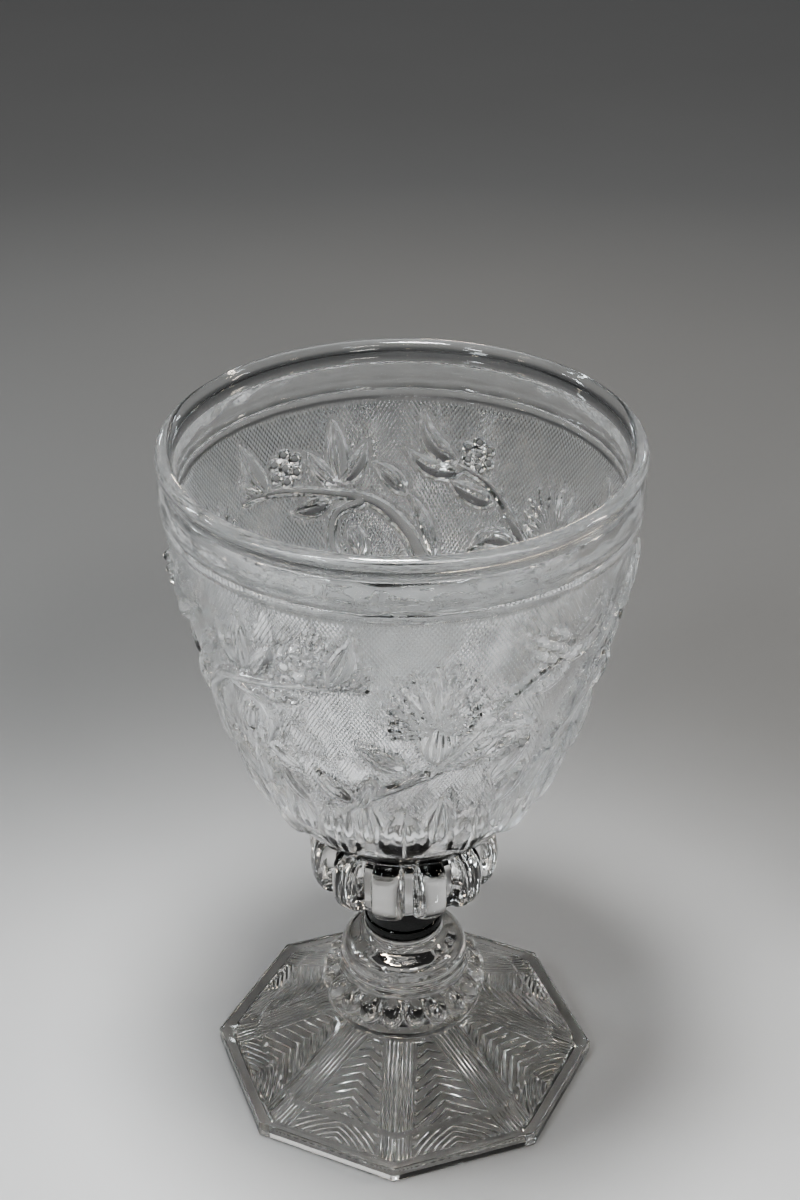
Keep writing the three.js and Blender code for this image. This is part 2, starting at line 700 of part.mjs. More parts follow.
// Bell and stem ring above the beads
function bellRings() {
  const ringRadius = STEM_RADIUS + STEM_RING_PROJECTION;
  const profile = BELL_OUTLINE.map(([out, rise]) => [
    THREE.MathUtils.lerp(STEM_RADIUS, BELL_RADIUS, out),
    bellBottom + rise * BELL_HEIGHT,
  ]);
  profile.push([ringRadius, bellTop]);
  profile.push([ringRadius, bellTop + STEM_RING_HEIGHT / 2]);
  profile.push([STEM_RADIUS, footHeight]);
  return profile.map(([radius, z]) => circle(footSegments, radius, z));
}

function makeFoot() {
  const rings = [
    ...hollowRings(),
    ...edgeRings(),
    ...domeRings(),
    circle(footSegments, BASE_RING_RADIUS, ringBottom + BASE_RING_HEIGHT / 2),
    circle(footSegments, beadSeatRadius + BEAD_SEAT_TAPER, beadBottom),
    ...beadRings(),
    ...bellRings(),
    apex(footHeight),
  ];
  return glassPiece('foot', skin(rings), FOOT_COLOR);
}

const goblet = new THREE.Group();
goblet.name = 'goblet';
goblet.add(
  makeFoot(),
  makeWafer('stem_wafer', STEM_RADIUS, footHeight, STEM_WAFER_THICKNESS),
  makeKnop(),
  makeWafer('bowl_wafer', BOWL_WAFER_RADIUS, bowlWaferBottom, BOWL_WAFER_THICKNESS),
  makeBowl(),
);

export default goblet;
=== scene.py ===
# Pressed crystal goblet on a pale floor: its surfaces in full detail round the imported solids.
# Sizes are in millimetres and MM turns them into the scene's metres. Angles are in degrees,
# counted from -Y towards +X, where one corner of the octagonal foot points along -Y.
import math

import bpy
import numpy as np
from mathutils import Matrix, Vector
from mathutils.geometry import delaunay_2d_cdt


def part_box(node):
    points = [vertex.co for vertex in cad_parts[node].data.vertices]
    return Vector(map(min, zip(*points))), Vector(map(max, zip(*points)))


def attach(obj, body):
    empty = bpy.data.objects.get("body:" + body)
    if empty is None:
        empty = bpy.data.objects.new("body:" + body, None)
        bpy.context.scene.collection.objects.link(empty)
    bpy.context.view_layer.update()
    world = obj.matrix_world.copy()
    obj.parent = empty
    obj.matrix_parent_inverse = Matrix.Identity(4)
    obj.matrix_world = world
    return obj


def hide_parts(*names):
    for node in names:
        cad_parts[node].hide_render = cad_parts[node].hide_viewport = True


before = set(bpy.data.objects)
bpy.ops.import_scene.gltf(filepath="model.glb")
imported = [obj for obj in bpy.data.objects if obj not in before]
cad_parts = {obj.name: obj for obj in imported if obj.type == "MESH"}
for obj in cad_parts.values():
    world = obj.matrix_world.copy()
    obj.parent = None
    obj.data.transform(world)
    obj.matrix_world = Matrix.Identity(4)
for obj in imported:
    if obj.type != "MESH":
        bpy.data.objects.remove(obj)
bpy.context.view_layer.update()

MM = 0.001
# Too small to matter, in millimetres or as a share
TINY = 1e-6

# Seats and outer sizes, read from the frame
foot_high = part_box("foot")[1] / MM
wafer_low, wafer_high = (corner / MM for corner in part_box("stem_wafer"))
knop_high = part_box("knop")[1] / MM
seat_low, seat_high = (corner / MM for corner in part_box("bowl_wafer"))
bowl_low, bowl_high = (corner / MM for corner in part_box("bowl"))
FOOT_TOP = foot_high.z
KNOP_BOTTOM = wafer_high.z
KNOP_TOP = seat_low.z
LOBE_TOP = knop_high.z
BOWL_BOTTOM = bowl_low.z
MOUTH_RADIUS = bowl_high.x
FOOT_CORNER_RADIUS = foot_high.x

# Bowl
FILLET_HEIGHT = 2.1
COLLAR_HEIGHT = 6
GROOVE_HEIGHT = 1.7
LIP_THICKNESS = 3.1
GROUND_HEIGHT = bowl_high.z - BOWL_BOTTOM - FILLET_HEIGHT - COLLAR_HEIGHT - GROOVE_HEIGHT - LIP_THICKNESS
COLLAR_BOTTOM = GROUND_HEIGHT + FILLET_HEIGHT
GROUND_INSET = 0.9
GROOVE_DEPTH = 1.1
WALL_THICKNESS = 3
FLOOR_THICKNESS = 6
WALL_POWER = 3
LOW_CONTROL = (0.573, 0.032)
HIGH_CONTROL = (0.848, 0.641)
SMOOTH_BOTTOM_HEIGHT = 11.6
DIAMONDS = 300
DIAMOND_ROW = 0.71
DIAMOND_DEPTH = 0.34
GRAIN_SEED = 11
# Fillet: millimetres outwards from its inset and upwards from the top of the diamond ground
FILLET_INSET = 0.5
FILLET_OUTLINE = [(-0.12, 0.175), (0, 0.4), (0.05, 1.05), (0, 1.75), (-0.18, 2), (-0.1, 2.22)]
# Collar: shares of the groove's depth and of the collar's height
COLLAR_INSET = 0.06
COLLAR_OUTLINE = [(0, 0.15), (0.04, 0.3), (0, 0.4), (0.02, 0.48), (0.2, 0.66), (0.5, 0.85),
                  (0.85, 0.97), (1, 1)]
LIP_START_ANGLE = -62
# Slow unevenness of hot pressed glass: number of waves round a ring, their size and their lean
WAVES = [(7, 0.2, 0.2), (19, 0.25, -0.5), (29, 0.37, 0.7), (41, 0.18, -0.9)]
COLLAR_WAVE = 0.3
COLLAR_WAVE_TURN = 1.3
COLLAR_WAVE_FADE = 1.2
INSIDE_WAVE = 0.12
INSIDE_WAVE_TURN = 2.6

# Wafers
BOWL_WAFER_RADIUS = 12.2
STEM_RADIUS = 7.9
WAFER_BULGE = 0.35
WAFER_POWER = 0.6

# Knop
NECK_HEIGHT = 10.8
NECK_RADIUS = 7.6
CORE_RADIUS = 16.2
LOBE_DEPTH = 3.6
LOBE_COUNT = 12
LOBE_SHARE = 0.76
LOBE_POWER = 2.8
FIRST_LOBE_ANGLE = -8
LOBE_GAP_DIP = 2
KNOP_SEAT_MARGIN = 0.4
# Neck: share of its height, of the way out to the core, and of the lobes' depth
NECK_OUTLINE = [(0.3, 0, 0), (0.55, 0.06, 0), (0.8, 0.3, 0.02), (0.93, 0.6, 0.1), (1, 0.85, 0.35)]
# Wheel: share of its height, inset and depth as shares of the lobes' depth, share of the dip
WHEEL_OUTLINE = [(0.03, 0.03, 0.5, 0), (0.09, 0.01, 0.7, 0), (0.18, 0, 0.85, 0), (0.3, 0, 0.95, 0),
                 (0.48, 0, 1, 0), (0.64, 0.01, 0.98, 0.1), (0.78, 0.04, 0.92, 0.3),
                 (0.88, 0.1, 0.82, 0.6), (0.95, 0.2, 0.7, 0.8), (1, 0.42, 0.5, 1)]
# Small steps, in millimetres outwards and upwards, above the lower and below the upper seat
NECK_STEP = (-0.15, 0.5)
SEAT_STEP = (0.2, 0.1)
# Half way from the wheel to the seat: millimetres outside the seat, share of the lobes, dip
SHOULDER = (1.2, 0.1, 0.8)

# Foot
FOOT_EDGE_HEIGHT = 3.6
DOME_HEIGHT = 13.1
BASE_RING_HEIGHT = 2.1
BEAD_HEIGHT = 6.8
BELL_HEIGHT = 10.2
FOOT_CORNERS = 8
FOOT_EDGE_ROUNDING = 0.6
RESTING_RIM_WIDTH = 3
DOME_POWER = 1.25
BASE_RING_RADIUS = 16.5
BASE_RING_INSET = 0.75
BASE_RING_ROUNDING = 1
BASE_RING_ARC = (-50, 80)
BELL_RADIUS = 13.4
# Bell: shares of the way out from the stem and of its height
BELL_OUTLINE = [(1.09, 0), (1.09, 0.05), (1.06, 0.1), (1.02, 0.13), (1.045, 0.17), (1.04, 0.24),
                (0.97, 0.27), (0.97, 0.3), (1, 0.34), (0.97, 0.42), (0.88, 0.55), (0.7, 0.66),
                (0.45, 0.75), (0.2, 0.82), (0.06, 0.88), (0, 0.93)]
STEM_RING_PROJECTION = 0.3
STEM_RING_ARC = (-80, 80)
STEM_RING_CLEARANCE = 0.02
BEAD_COUNT = 20
FIRST_BEAD_ANGLE = 12
BEAD_SEAT_STEP = 0.6
BEAD_SEAT_TAPER = 0.9
BEAD_PROJECTION = 3.1
BEAD_SQUEEZE = 0.96
HOLLOW_STEP = 0.9
HOLLOW_STEP_SLOPE = 0.4
HOLLOW_TOP_RADIUS = 12
HOLLOW_ROOF_THICKNESS = 4.7
HOLLOW_CROWN = 1.6
CROWN_RADIUS = 10.6

# Ridges pressed into the underside of the foot. Each of the eight panels has a band of lines
# along both of its hips, chevrons between them, and a zone of nested fans outside a step.
CHEVRON_HEIGHT = 0.68
HIP_HEIGHT = 0.4
FAN_HEIGHT = 0.5
RIDGE_FADE = 0.4
HIP_BAND = 3.28
HIP_PITCH = 0.82
CHEVRON_PITCH = 1.75
CHEVRON_ANGLE = 63
RIDGES_START = 11.8
FAN_STEP_RADIUS = 31
FAN_STEP_DROP = 0.45
FAN_STEP_WIDTH = 0.4
FAN_PITCH = 1.05
FAN_STRETCH = 1.75
FAN_POWER = 1.25
# Height across one ridge, at shares of its pitch
RIDGE_SECTION = ([0, 0.25, 0.5, 0.75, 1], [0, 0.42, 1, 0.42, 0])
LEAST_HOLLOW_HEIGHT = 0.35

# Fineness
OUTLINE_STEPS = 4000
BAND_SEGMENTS = 300
SMOOTH_ROWS = 13
COLLAR_STEPS = 3
LIP_STEPS = 24
INSIDE_SEGMENTS = 240
INSIDE_ROWS = 60
FLOOR_SHARES = (0.75, 0.5, 0.25)
WAFER_SEGMENTS = 300
WAFER_ROWS = 12
LOBE_SEGMENTS = 32
KNOP_STEPS = 5
FOOT_SEGMENTS = 480
FOOT_EDGE_STEPS = 5
DOME_ROWS = 26
BASE_RING_STEPS = 10
BEAD_ROWS = 22
BELL_STEPS = 4
STEM_RING_STEPS = 6
CROWN_SHARES = (0.15, 0.3, 0.45, 0.6, 0.75, 0.9, 1)
RIDGE_LINES = 4
FAN_STEPS = 14
MIDRIB_STEPS = 14
STEM_STEPS = 6
PETAL_STEPS = 4
BERRY_LINE = 1e-3
CUT_TOLERANCE = 1e-4
EDGE_TOLERANCE = 1e-3

# Ornament. One spray is repeated round the bowl: angles are degrees inside the repeat, and
# heights count from the bowl's seat. Heights, bows and widths are in millimetres.
SPRAY_COUNT = 3
REPEAT = 360 / SPRAY_COUNT
LEAF_RISE = 2
STEM_RISE = 1.6
BERRY_RISE = 2
PETAL_RISE = 2.2
RELIEF_CLEARANCE = 0.3
BORDER_WIDTH = 0.65
BORDER_LEVEL = 0.12
BORDER_GRAIN = 0.14
SIDE_WIDTH = 0.55
DOME_SHARE = 0.65
MIDRIB_DEPTH = 0.6
MIDRIB_WIDTH = 0.2
VEIN_DEPTH = 0.28
VEIN_PLACE = 0.55
VEIN_WIDTH = 0.14
BASE_RIB_DEPTH = 0.5
BASE_RIBS = (0, 0.5)
BASE_RIB_WIDTH = 0.12
PETAL_CREASE = 0.55
PETAL_CREASE_WIDTH = 0.3

# Leaves: stalk, tip, how far the midrib bows to its left, and half the leaf's width
LEAVES = [
    ((47, 62.5), (57, 73), -2.6, 2.3),
    ((45, 60.6), (62, 65), -2.4, 2.1),
    ((35, 55), (50, 58.4), -0.6, 2.4),
    ((21, 48.4), (32, 54.4), 0.3, 1.9),
    ((23, 46.4), (42, 43.6), 3.4, 2.3),
    ((53, 41), (61, 55), 1.2, 1.5),
    ((62, 54.6), (72, 62), 0.6, 2.1),
    ((81, 58), (73, 66.4), 0.8, 2.1),
    ((81.5, 58.4), (82.5, 72), 0.3, 2.3),
    ((83, 58), (90.5, 66), -0.5, 2),
    ((85, 54.8), (99, 54.4), -0.5, 2),
    ((80, 49), (77, 41), -0.8, 2),
    ((105, 60), (112, 72.6), -0.8, 2.5),
    ((107, 60.2), (116, 65.4), -0.6, 1.9),
    ((4, 40), (-9, 46.6), 0.9, 2.6),
    ((13, 40.6), (31, 48.4), -1.2, 3.2),
    ((-12, 30), (-23, 37.6), 1, 2.8),
    ((-10, 29), (-6, 37.4), -0.4, 2.3),
    ((30, 34), (41, 42.6), 0.6, 2.7),
    ((33, 27), (42, 36), -0.6, 2.6),
    ((45, 24), (53, 37.4), 0.8, 3),
    ((93, 36), (81, 42), 0.7, 2.5),
    ((93, 27), (85, 36.4), 0.6, 2.7),
    ((73, 28), (63, 37.4), 0.8, 2.7),
    ((75, 27), (77, 40), -0.4, 2.4),
]

# Stems: the points they run through, and half their width at both ends
STEMS = [
    ([(-16, 19), (-13, 28), (-5, 32.4), (8, 37.6), (20, 41.4), (33, 43.8)], (1.5, 0.8)),
    ([(12, 39.4), (20, 46.4), (28, 53), (37, 58.6), (47, 61.4)], (1.1, 0.7)),
    ([(50, 30), (56, 40.4), (62, 47.4), (72, 53.6), (86, 56.6), (102, 59.6), (115, 60.4)], (2, 0.6)),
    ([(76, 53.6), (84, 51.8), (86, 46), (83, 41)], (1.4, 0.8)),
    ([(82, 20), (84, 28), (80, 34)], (1.3, 0.8)),
    ([(40, 20), (42, 28), (36, 34)], (1.3, 0.8)),
]

# Round clusters: centre, radius of a berry and radius of the ring of six about the seventh
CLUSTERS = [((98, 63.8), 1.45, 2.9), ((41, 64.4), 1.35, 2.7)]
BERRIES_PER_CLUSTER = 6

# Large flower over a calyx, in fans of petals: count, spread, length at the sides and upright,
# and half width
FLOWER_CENTRE = (11.5, 51)
PETAL_FANS = [(15, 214, 8.6, 14.6, 1.05), (9, 150, 6.8, 10.6, 0.95), (5, 80, 4.5, 6.6, 0.9)]
CALYX = ((12, 41.6), (12.5, 53), 0, 3)

# Rings of broad leaves low on the bowl: first angle, heights of stalk and tip, half width, rise.
# Of the second row, which stands between the first, only the tips show.
BASE_LEAF_COUNT = 15
FIRST_ROW = (3.5, 12.5, 28, 5.2, 1.9)
SECOND_ROW = (15.5, 17, 31, 3.9, 1.3)
LEAF_SHAPE = (0.6, 0.9)
BASE_LEAF_SHAPE = (0.3, 0.8)
LEAF_END_RISE = 0.5

# Camera, solved from the rim's circle and the foot's octagon, for a picture of 800 x 1200
CAMERA_AZIMUTH = 3.19
CAMERA_DISTANCE = 363.5
CAMERA_HEIGHT = 334.1
CAMERA_PITCH = 31.094
CAMERA_ROLL = -0.195
CAMERA_LENS = 65.72
CAMERA_SHIFT = -0.002
CAMERA_NEAR = 10

# Glass, with a slow swell and a fine grain from its mould, whose scales count waves in a metre
GLASS_INDEX = 1.56
GLASS_ROUGHNESS = (0.004, 0.03)
SWELL_SCALE = 140
SWELL_STRENGTH = 0.25
SWELL_HEIGHT = 0.25
GRAIN_SCALE = 1500
GRAIN_DETAIL = 1
GRAIN_STRENGTH = 0.3
GRAIN_HEIGHT = 0.02
BOWL_TINT = (0.965, 0.98, 0.985)
STEM_TINT = (0.985, 0.975, 0.955)
SHARP_ANGLE = 50

# Floor and light
FLOOR_SIZE = 12000
FLOOR_GAP = 0.05
FLOOR_STEPS = 40
FLOOR_COLOUR = (0.56, 0.565, 0.57)
FLOOR_ROUGHNESS = 0.75
FLOOR_SHINE = 0.2
FLOOR_MOTTLE = 0.03
FLOOR_MOTTLE_SCALE = 9
ROOM_SHADES = [
    (0.0, (0.06, 0.061, 0.062, 1)),
    (0.3, (0.02, 0.02, 0.02, 1)),
    (1.0, (0.03, 0.03, 0.03, 1)),
]
# Kind, place, what it faces and settings of the lamps beside the soft ones. The pool of light of
# the main lamp fades out round the glass, and the fill from overhead keeps the far floor pale.
LAMPS = {
    "main_lamp": ("SPOT", (-20, -30, 480), (-10, -75, 0), {
        "energy": 8.2, "shadow_soft_size": 50 * MM, "spot_size": math.radians(52), "spot_blend": 1}),
    "fill": ("SUN", (0, 0, 0), (0.25, 0.15, -1), {"energy": 0.42, "angle": math.radians(60)}),
}
# Name, place, what it faces, width and height, watts and colour
SOFT_LAMPS = [
    ("front_right_lamp", (170, -380, 520), (0, 0, 70), (110, 60), 0.26, (1, 0.96, 0.9)),
    ("front_left_lamp", (-270, -330, 470), (0, 0, 70), (50, 110), 0.24, (0.94, 0.98, 1)),
    ("left_lamp", (-430, 70, 270), (0, 0, 60), (34, 150), 0.22, (0.9, 0.97, 1)),
    ("right_lamp", (440, 50, 260), (0, 0, 60), (34, 150), 0.2, (1, 0.9, 0.78)),
]
LAMP_SPREAD = 170
# Ring of small lamps that make the glass sparkle
SPARK_LAMPS = 12
SPARK_DISTANCE = 480
SPARK_HEIGHTS = (600, 330, 250, 290)
SPARK_TARGET = (0, 0, 90)
SPARK_SIZE = (34, 34)
SPARK_POWER = 0.055
SPARK_COLOURS = ((1, 0.86, 0.7), (0.88, 0.95, 1))
GLASS_BOUNCES = 28


def on_circle(radius, turn, height):
    return np.stack([radius * np.sin(turn), -radius * np.cos(turn), height], 1)


class Surface:
    # Points, triangles and a flat map of one piece, gathered ring by ring from its axis

    def __init__(self, height):
        self.points = []
        self.places = []
        self.triangles = []
        self.joint = []
        self.size = 0
        self.travel = 0.0
        self.last = (0, height)
        self.edge = self.apex(height)

    def step(self, radius, height):
        # How far along its outline the piece has come, for the flat map
        here = (float(np.mean(radius)), float(np.mean(height)))
        self.travel += math.dist(here, self.last)
        self.last = here
        return self.travel

    def add(self, points, round_share, travel):
        numbers = self.size + np.arange(len(points))
        self.points.append(points)
        self.places.append(np.stack([round_share, np.broadcast_to(travel, len(points))], 1))
        self.size += len(points)
        return numbers

    def add_stretch(self, points, round_share, run, end):
        # Points that aren't in rings, with how far each lies along a stretch that ends at end
        numbers = self.add(points, round_share, self.travel + run)
        self.travel += run.max()
        self.last = end
        return numbers

    def ring(self, count, radius, height, start=0.0):
        share = np.arange(count) / count
        turn = np.radians(start + 360 * share)
        points = on_circle(radius, turn, np.broadcast_to(height, count))
        return self.add(points, share, self.step(radius, height))

    def apex(self, height):
        return self.add(np.array([[0.0, 0.0, height]]), np.array([0.5]), self.step(0, height))

    def face(self, triangles, joint=False):
        self.triangles.append(np.asarray(triangles))
        self.joint.append(np.full(len(triangles), joint))

    def join(self, low, high, joint=False):
        # Triangles between two rings, or between a ring and the end of the axis
        if 1 < len(low) != len(high) > 1:
            self.stitch(low, high)
            return
        following = np.roll(low, -1)
        if len(low) > 1:
            self.face(np.stack(np.broadcast_arrays(low, following, high), 1), joint=joint)
        if len(high) > 1:
            self.face(np.stack(np.broadcast_arrays(following, np.roll(high, -1), high), 1), joint=joint)

    def stitch(self, low, high):
        # Triangles between two closed rings with different numbers of points
        shares = np.concatenate(self.places)[:, 0]
        low_ends = [*shares[low], shares[low[0]] + 1, math.inf]
        high_ends = [*shares[high], shares[high[0]] + 1, math.inf]
        triangles = []
        i = 0
        j = 0
        while i < len(low) or j < len(high):
            a = low[i % len(low)]
            c = high[j % len(high)]
            if low_ends[i + 1] <= high_ends[j + 1]:
                i += 1
                triangles.append((a, low[i % len(low)], c))
            else:
                j += 1
                triangles.append((a, high[j % len(high)], c))
        self.face(triangles)

    def grow(self, count, radius, height, start=0.0, joint=False):
        # A further ring, joined to the one before
        ring = self.ring(count, radius, height, start)
        self.join(self.edge, ring, joint)
        self.edge = ring

    def close(self, height, joint=False):
        # The end of the piece, back on its axis
        self.join(self.edge, self.apex(height), joint)


def spline(rows, steps):
    # A smooth curve through rows of numbers, with the given steps from each to the next
    rows = np.asarray(rows, float)
    padded = np.concatenate([rows[:1], rows, rows[-1:]])
    slopes = (padded[2:] - padded[:-2])[:, None] / 2
    start, end = slopes[:-1], slopes[1:]
    a, b = rows[:-1, None], rows[1:, None]
    t = (np.arange(steps) / steps)[:, None]
    cubic = (2 * a - 2 * b + start + end) * t ** 3
    square = (3 * b - 3 * a - 2 * start - end) * t ** 2
    curve = cubic + square + start * t + a
    return np.concatenate([curve.reshape(-1, rows.shape[1]), rows[-1:]])


def arc(radius, height, size, first, last, steps):
    turns = np.radians(np.linspace(first, last, steps + 1))
    return [(radius + size * math.cos(t), height + size * math.sin(t)) for t in turns]


# The body's outline from the edge of the seat to the top of the diamond ground, above the seat
def body_outline():
    ground_top = MOUTH_RADIUS - GROUND_INSET
    corners = np.array([(0, 0), LOW_CONTROL, HIGH_CONTROL, (1, 1)])
    corners = corners * (ground_top - BOWL_WAFER_RADIUS, GROUND_HEIGHT) + (BOWL_WAFER_RADIUS, 0)
    t = np.linspace(0, 1, OUTLINE_STEPS + 1)[:, None]
    weights = [(1 - t) ** 3, 3 * t * (1 - t) ** 2, 3 * t * t * (1 - t), t ** 3]
    return sum(weight * corner for weight, corner in zip(weights, corners))


outline = body_outline()
wall_radius, wall_height = outline.T
wall_travel = np.concatenate([[0], np.cumsum(np.hypot(*np.diff(outline, axis=0).T))])
wall_length = wall_travel[-1]
ground_start = float(np.interp(SMOOTH_BOTTOM_HEIGHT, wall_height, wall_travel))
slope = np.gradient(outline, wall_travel, axis=0)
slope /= np.hypot(*slope.T)[:, None]
wall = (wall_radius, wall_height, slope[:, 1], -slope[:, 0])


def wall_at(travel):
    # Radius, height above the seat and outward direction at a distance along the wall
    return [np.interp(travel, wall_travel, values) for values in wall]


def place(drawn):
    # Angle and distance along the wall of a point given as angle and height
    return np.array([drawn[0], np.interp(drawn[1], wall_height, wall_travel)])


def millimetre(travel):
    # Degrees that one millimetre takes up round the wall
    return 1 / (math.radians(1) * float(np.interp(travel, wall_travel, wall_radius)))


def midrib(stalk, tip, bow):
    start = place(stalk)
    end = place(tip)
    unit = np.array([millimetre((start[1] + end[1]) / 2), 1])
    run = (end - start) / unit
    run /= np.hypot(*run)
    middle = (start + end) / 2 + 2 * bow * unit * (-run[1], run[0])
    t = np.linspace(0, 1, MIDRIB_STEPS + 1)[:, None]
    return (1 - t) ** 2 * start + 2 * t * (1 - t) * middle + t * t * end


def taper_of(shape, share):
    # A leaf's half width at a share of its length, where 1 is its widest
    widest = shape[0] / (shape[0] + shape[1])
    share = np.clip(share, TINY, 1 - TINY)
    return (share / widest) ** shape[0] * ((1 - share) / (1 - widest)) ** shape[1]


def ridge_line(gap, width):
    return np.exp(-(gap / width) ** 2)


def across_form(gap, half):
    # Share of the way from a form's middle line to its edge
    return np.clip(gap / np.maximum(half, TINY), 0, 1)


def tapered_rise(form, taper):
    return form["rise"] * (LEAF_END_RISE + (1 - LEAF_END_RISE) * taper)


def domed_section(form, gap, half, grooves):
    # A domed face with rounded sides, and grooves that fade towards both ends
    taper = half / form["reach"]
    side = np.clip((half - gap) / SIDE_WIDTH, 0, 1)
    dome = tapered_rise(form, taper) * (1 - DOME_SHARE * across_form(gap, half) ** 2)
    return np.sqrt(1 - (1 - side) ** 2) * (dome - grooves * taper)


def leaf_section(form, gap, half):
    # A groove along the middle and one beside both edges
    rib = MIDRIB_DEPTH * ridge_line(gap, MIDRIB_WIDTH)
    vein = VEIN_DEPTH * ridge_line(across_form(gap, half) - VEIN_PLACE, VEIN_WIDTH)
    return domed_section(form, gap, half, rib + vein)


def base_leaf_section(form, gap, half):
    # Grooves that run along a broad face
    across = across_form(gap, half)
    grooves = sum(ridge_line(across - rib, BASE_RIB_WIDTH) for rib in BASE_RIBS)
    return domed_section(form, gap, half, BASE_RIB_DEPTH * grooves)


def petal_section(form, gap, half):
    # A round back with a crease along its middle
    taper = half / form["reach"]
    across = across_form(gap, half)
    crease = PETAL_CREASE * taper * ridge_line(across, PETAL_CREASE_WIDTH)
    return tapered_rise(form, taper) * np.sqrt(1 - across ** 2) - crease


def round_section(form, gap, half):
    return form["rise"] * np.sqrt(1 - across_form(gap, half) ** 2)


def raised_form(line, width, reach, rise, section):
    # A form along a line, whose half width is width(share) and at most reach
    return {"line": line, "width": width, "reach": reach, "rise": rise, "section": section}


def leaf_form(stalk, tip, bow, half_width, rise, shape, section=leaf_section):
    width = lambda share: half_width * taper_of(shape, share)
    return raised_form(midrib(stalk, tip, bow), width, half_width, rise, section)


def stem_form(points, half_widths):
    first, last = half_widths
    width = lambda share: first + (last - first) * share
    line = spline([place(point) for point in points], STEM_STEPS)
    return raised_form(line, width, max(half_widths), STEM_RISE, round_section)


def berry_form(centre, radius):
    width = lambda share: np.full(np.shape(share), radius)
    line = np.array([centre, centre + (0, BERRY_LINE)])
    return raised_form(line, width, radius, BERRY_RISE, round_section)


def around(centre, out, turn):
    return centre + out * np.array([math.sin(turn) * millimetre(centre[1]), math.cos(turn)])


def cluster_forms(centre, berry_radius, ring_radius):
    middle = place(centre)
    turns = 2 * math.pi * np.arange(BERRIES_PER_CLUSTER) / BERRIES_PER_CLUSTER
    centres = [middle] + [around(middle, ring_radius, turn) for turn in turns]
    return [berry_form(berry, berry_radius) for berry in centres]


def fan_forms(count, spread, side_length, upright_length, half_width):
    centre = place(FLOWER_CENTRE)
    width = lambda share: half_width * taper_of(LEAF_SHAPE, share)
    forms = []
    for turn in np.radians(spread * (np.arange(count) / (count - 1) - 0.5)):
        length = side_length + (upright_length - side_length) * max(math.cos(turn), 0) ** 2
        line = np.array([around(centre, length * t, turn) for t in np.linspace(0, 1, PETAL_STEPS + 1)])
        forms.append(raised_form(line, width, half_width, PETAL_RISE, petal_section))
    return forms


def base_leaves(row, section):
    first, stalk, tip, half_width, rise = row
    angles = [first + 360 / BASE_LEAF_COUNT * k for k in range(BASE_LEAF_COUNT // SPRAY_COUNT)]
    return [leaf_form((angle, stalk), (angle, tip), 0, half_width, rise, BASE_LEAF_SHAPE, section)
            for angle in angles]


def all_forms():
    forms = [leaf_form(*leaf, LEAF_RISE, LEAF_SHAPE) for leaf in LEAVES]
    forms.append(leaf_form(*CALYX, PETAL_RISE, LEAF_SHAPE))
    for fan in PETAL_FANS:
        forms += fan_forms(*fan)
    forms += [stem_form(*stem) for stem in STEMS]
    for cluster in CLUSTERS:
        forms += cluster_forms(*cluster)
    return forms + base_leaves(FIRST_ROW, leaf_section) + base_leaves(SECOND_ROW, base_leaf_section)


def nearest(line, angle, travel, radius):
    # Share of the way along a line and distance in millimetres, for arrays of places
    best = np.full(np.broadcast_shapes(angle.shape, travel.shape), np.inf)
    share = np.zeros(best.shape)
    scale = math.radians(1) * radius
    for k in range(len(line) - 1):
        ax = (line[k, 0] - angle) * scale
        ay = line[k, 1] - travel
        dx = (line[k + 1, 0] - line[k, 0]) * scale
        dy = line[k + 1, 1] - line[k, 1]
        t = np.clip(-(ax * dx + ay * dy) / (dx * dx + dy * dy + TINY ** 2), 0, 1)
        gap = np.hypot(ax + t * dx, ay + t * dy)
        closer = gap < best
        best = np.where(closer, gap, best)
        share = np.where(closer, (k + t) / (len(line) - 1), share)
    return share, best


def ornament(angles, travels):
    # Height of the ornament and distance to the nearest form's edge over one repeat
    height = np.zeros((len(travels), len(angles)))
    edge = np.full(height.shape, np.inf)
    for form in all_forms():
        line = form["line"]
        margin = form["reach"] + BORDER_WIDTH * 2
        rows = slice(*np.searchsorted(travels, [line[:, 1].min() - margin, line[:, 1].max() + margin]))
        travel = travels[rows, None]
        radius = np.interp(travel, wall_travel, wall_radius)
        margin_angle = margin / (math.radians(1) * radius.min())
        for turn in (-REPEAT, 0, REPEAT):
            ends = [line[:, 0].min() - margin_angle - turn, line[:, 0].max() + margin_angle - turn]
            columns = slice(*np.searchsorted(angles, ends))
            share, gap = nearest(line, angles[None, columns] + turn, travel, radius)
            half = form["width"](share)
            here = form["section"](form, gap, half)
            block = (rows, columns)
            height[block] = np.maximum(height[block], np.where(gap < half, here, 0))
            edge[block] = np.minimum(edge[block], gap - half)
    return height, edge


def even_distance(value):
    # Distance to the nearest even number
    return np.abs((value + 1) % 2 - 1)


def wall_relief(angles, travels):
    # How far the ornamented surface stands out, and its distance from the nearest form's edge
    repeat = ornament(angles[:len(angles) // SPRAY_COUNT], travels)
    height, edge = (np.tile(values, (1, SPRAY_COUNT)) for values in repeat)
    down = np.arange(len(travels))[:, None] / 2
    along = np.arange(len(angles))[None, :] / 2
    diamond = DIAMOND_DEPTH * np.minimum(even_distance(along + down), even_distance(along - down))
    grain = BORDER_GRAIN * np.random.default_rng(GRAIN_SEED).uniform(-1, 1, edge.shape)
    ground = np.where(edge < BORDER_WIDTH, BORDER_LEVEL + grain, diamond)
    height = np.where(edge < 0, np.maximum(height, BORDER_LEVEL), ground)
    ends = np.minimum(travels - travels[0], travels[-1] - travels)[:, None]
    return height * np.clip(ends / DIAMOND_ROW, 0, 1), edge


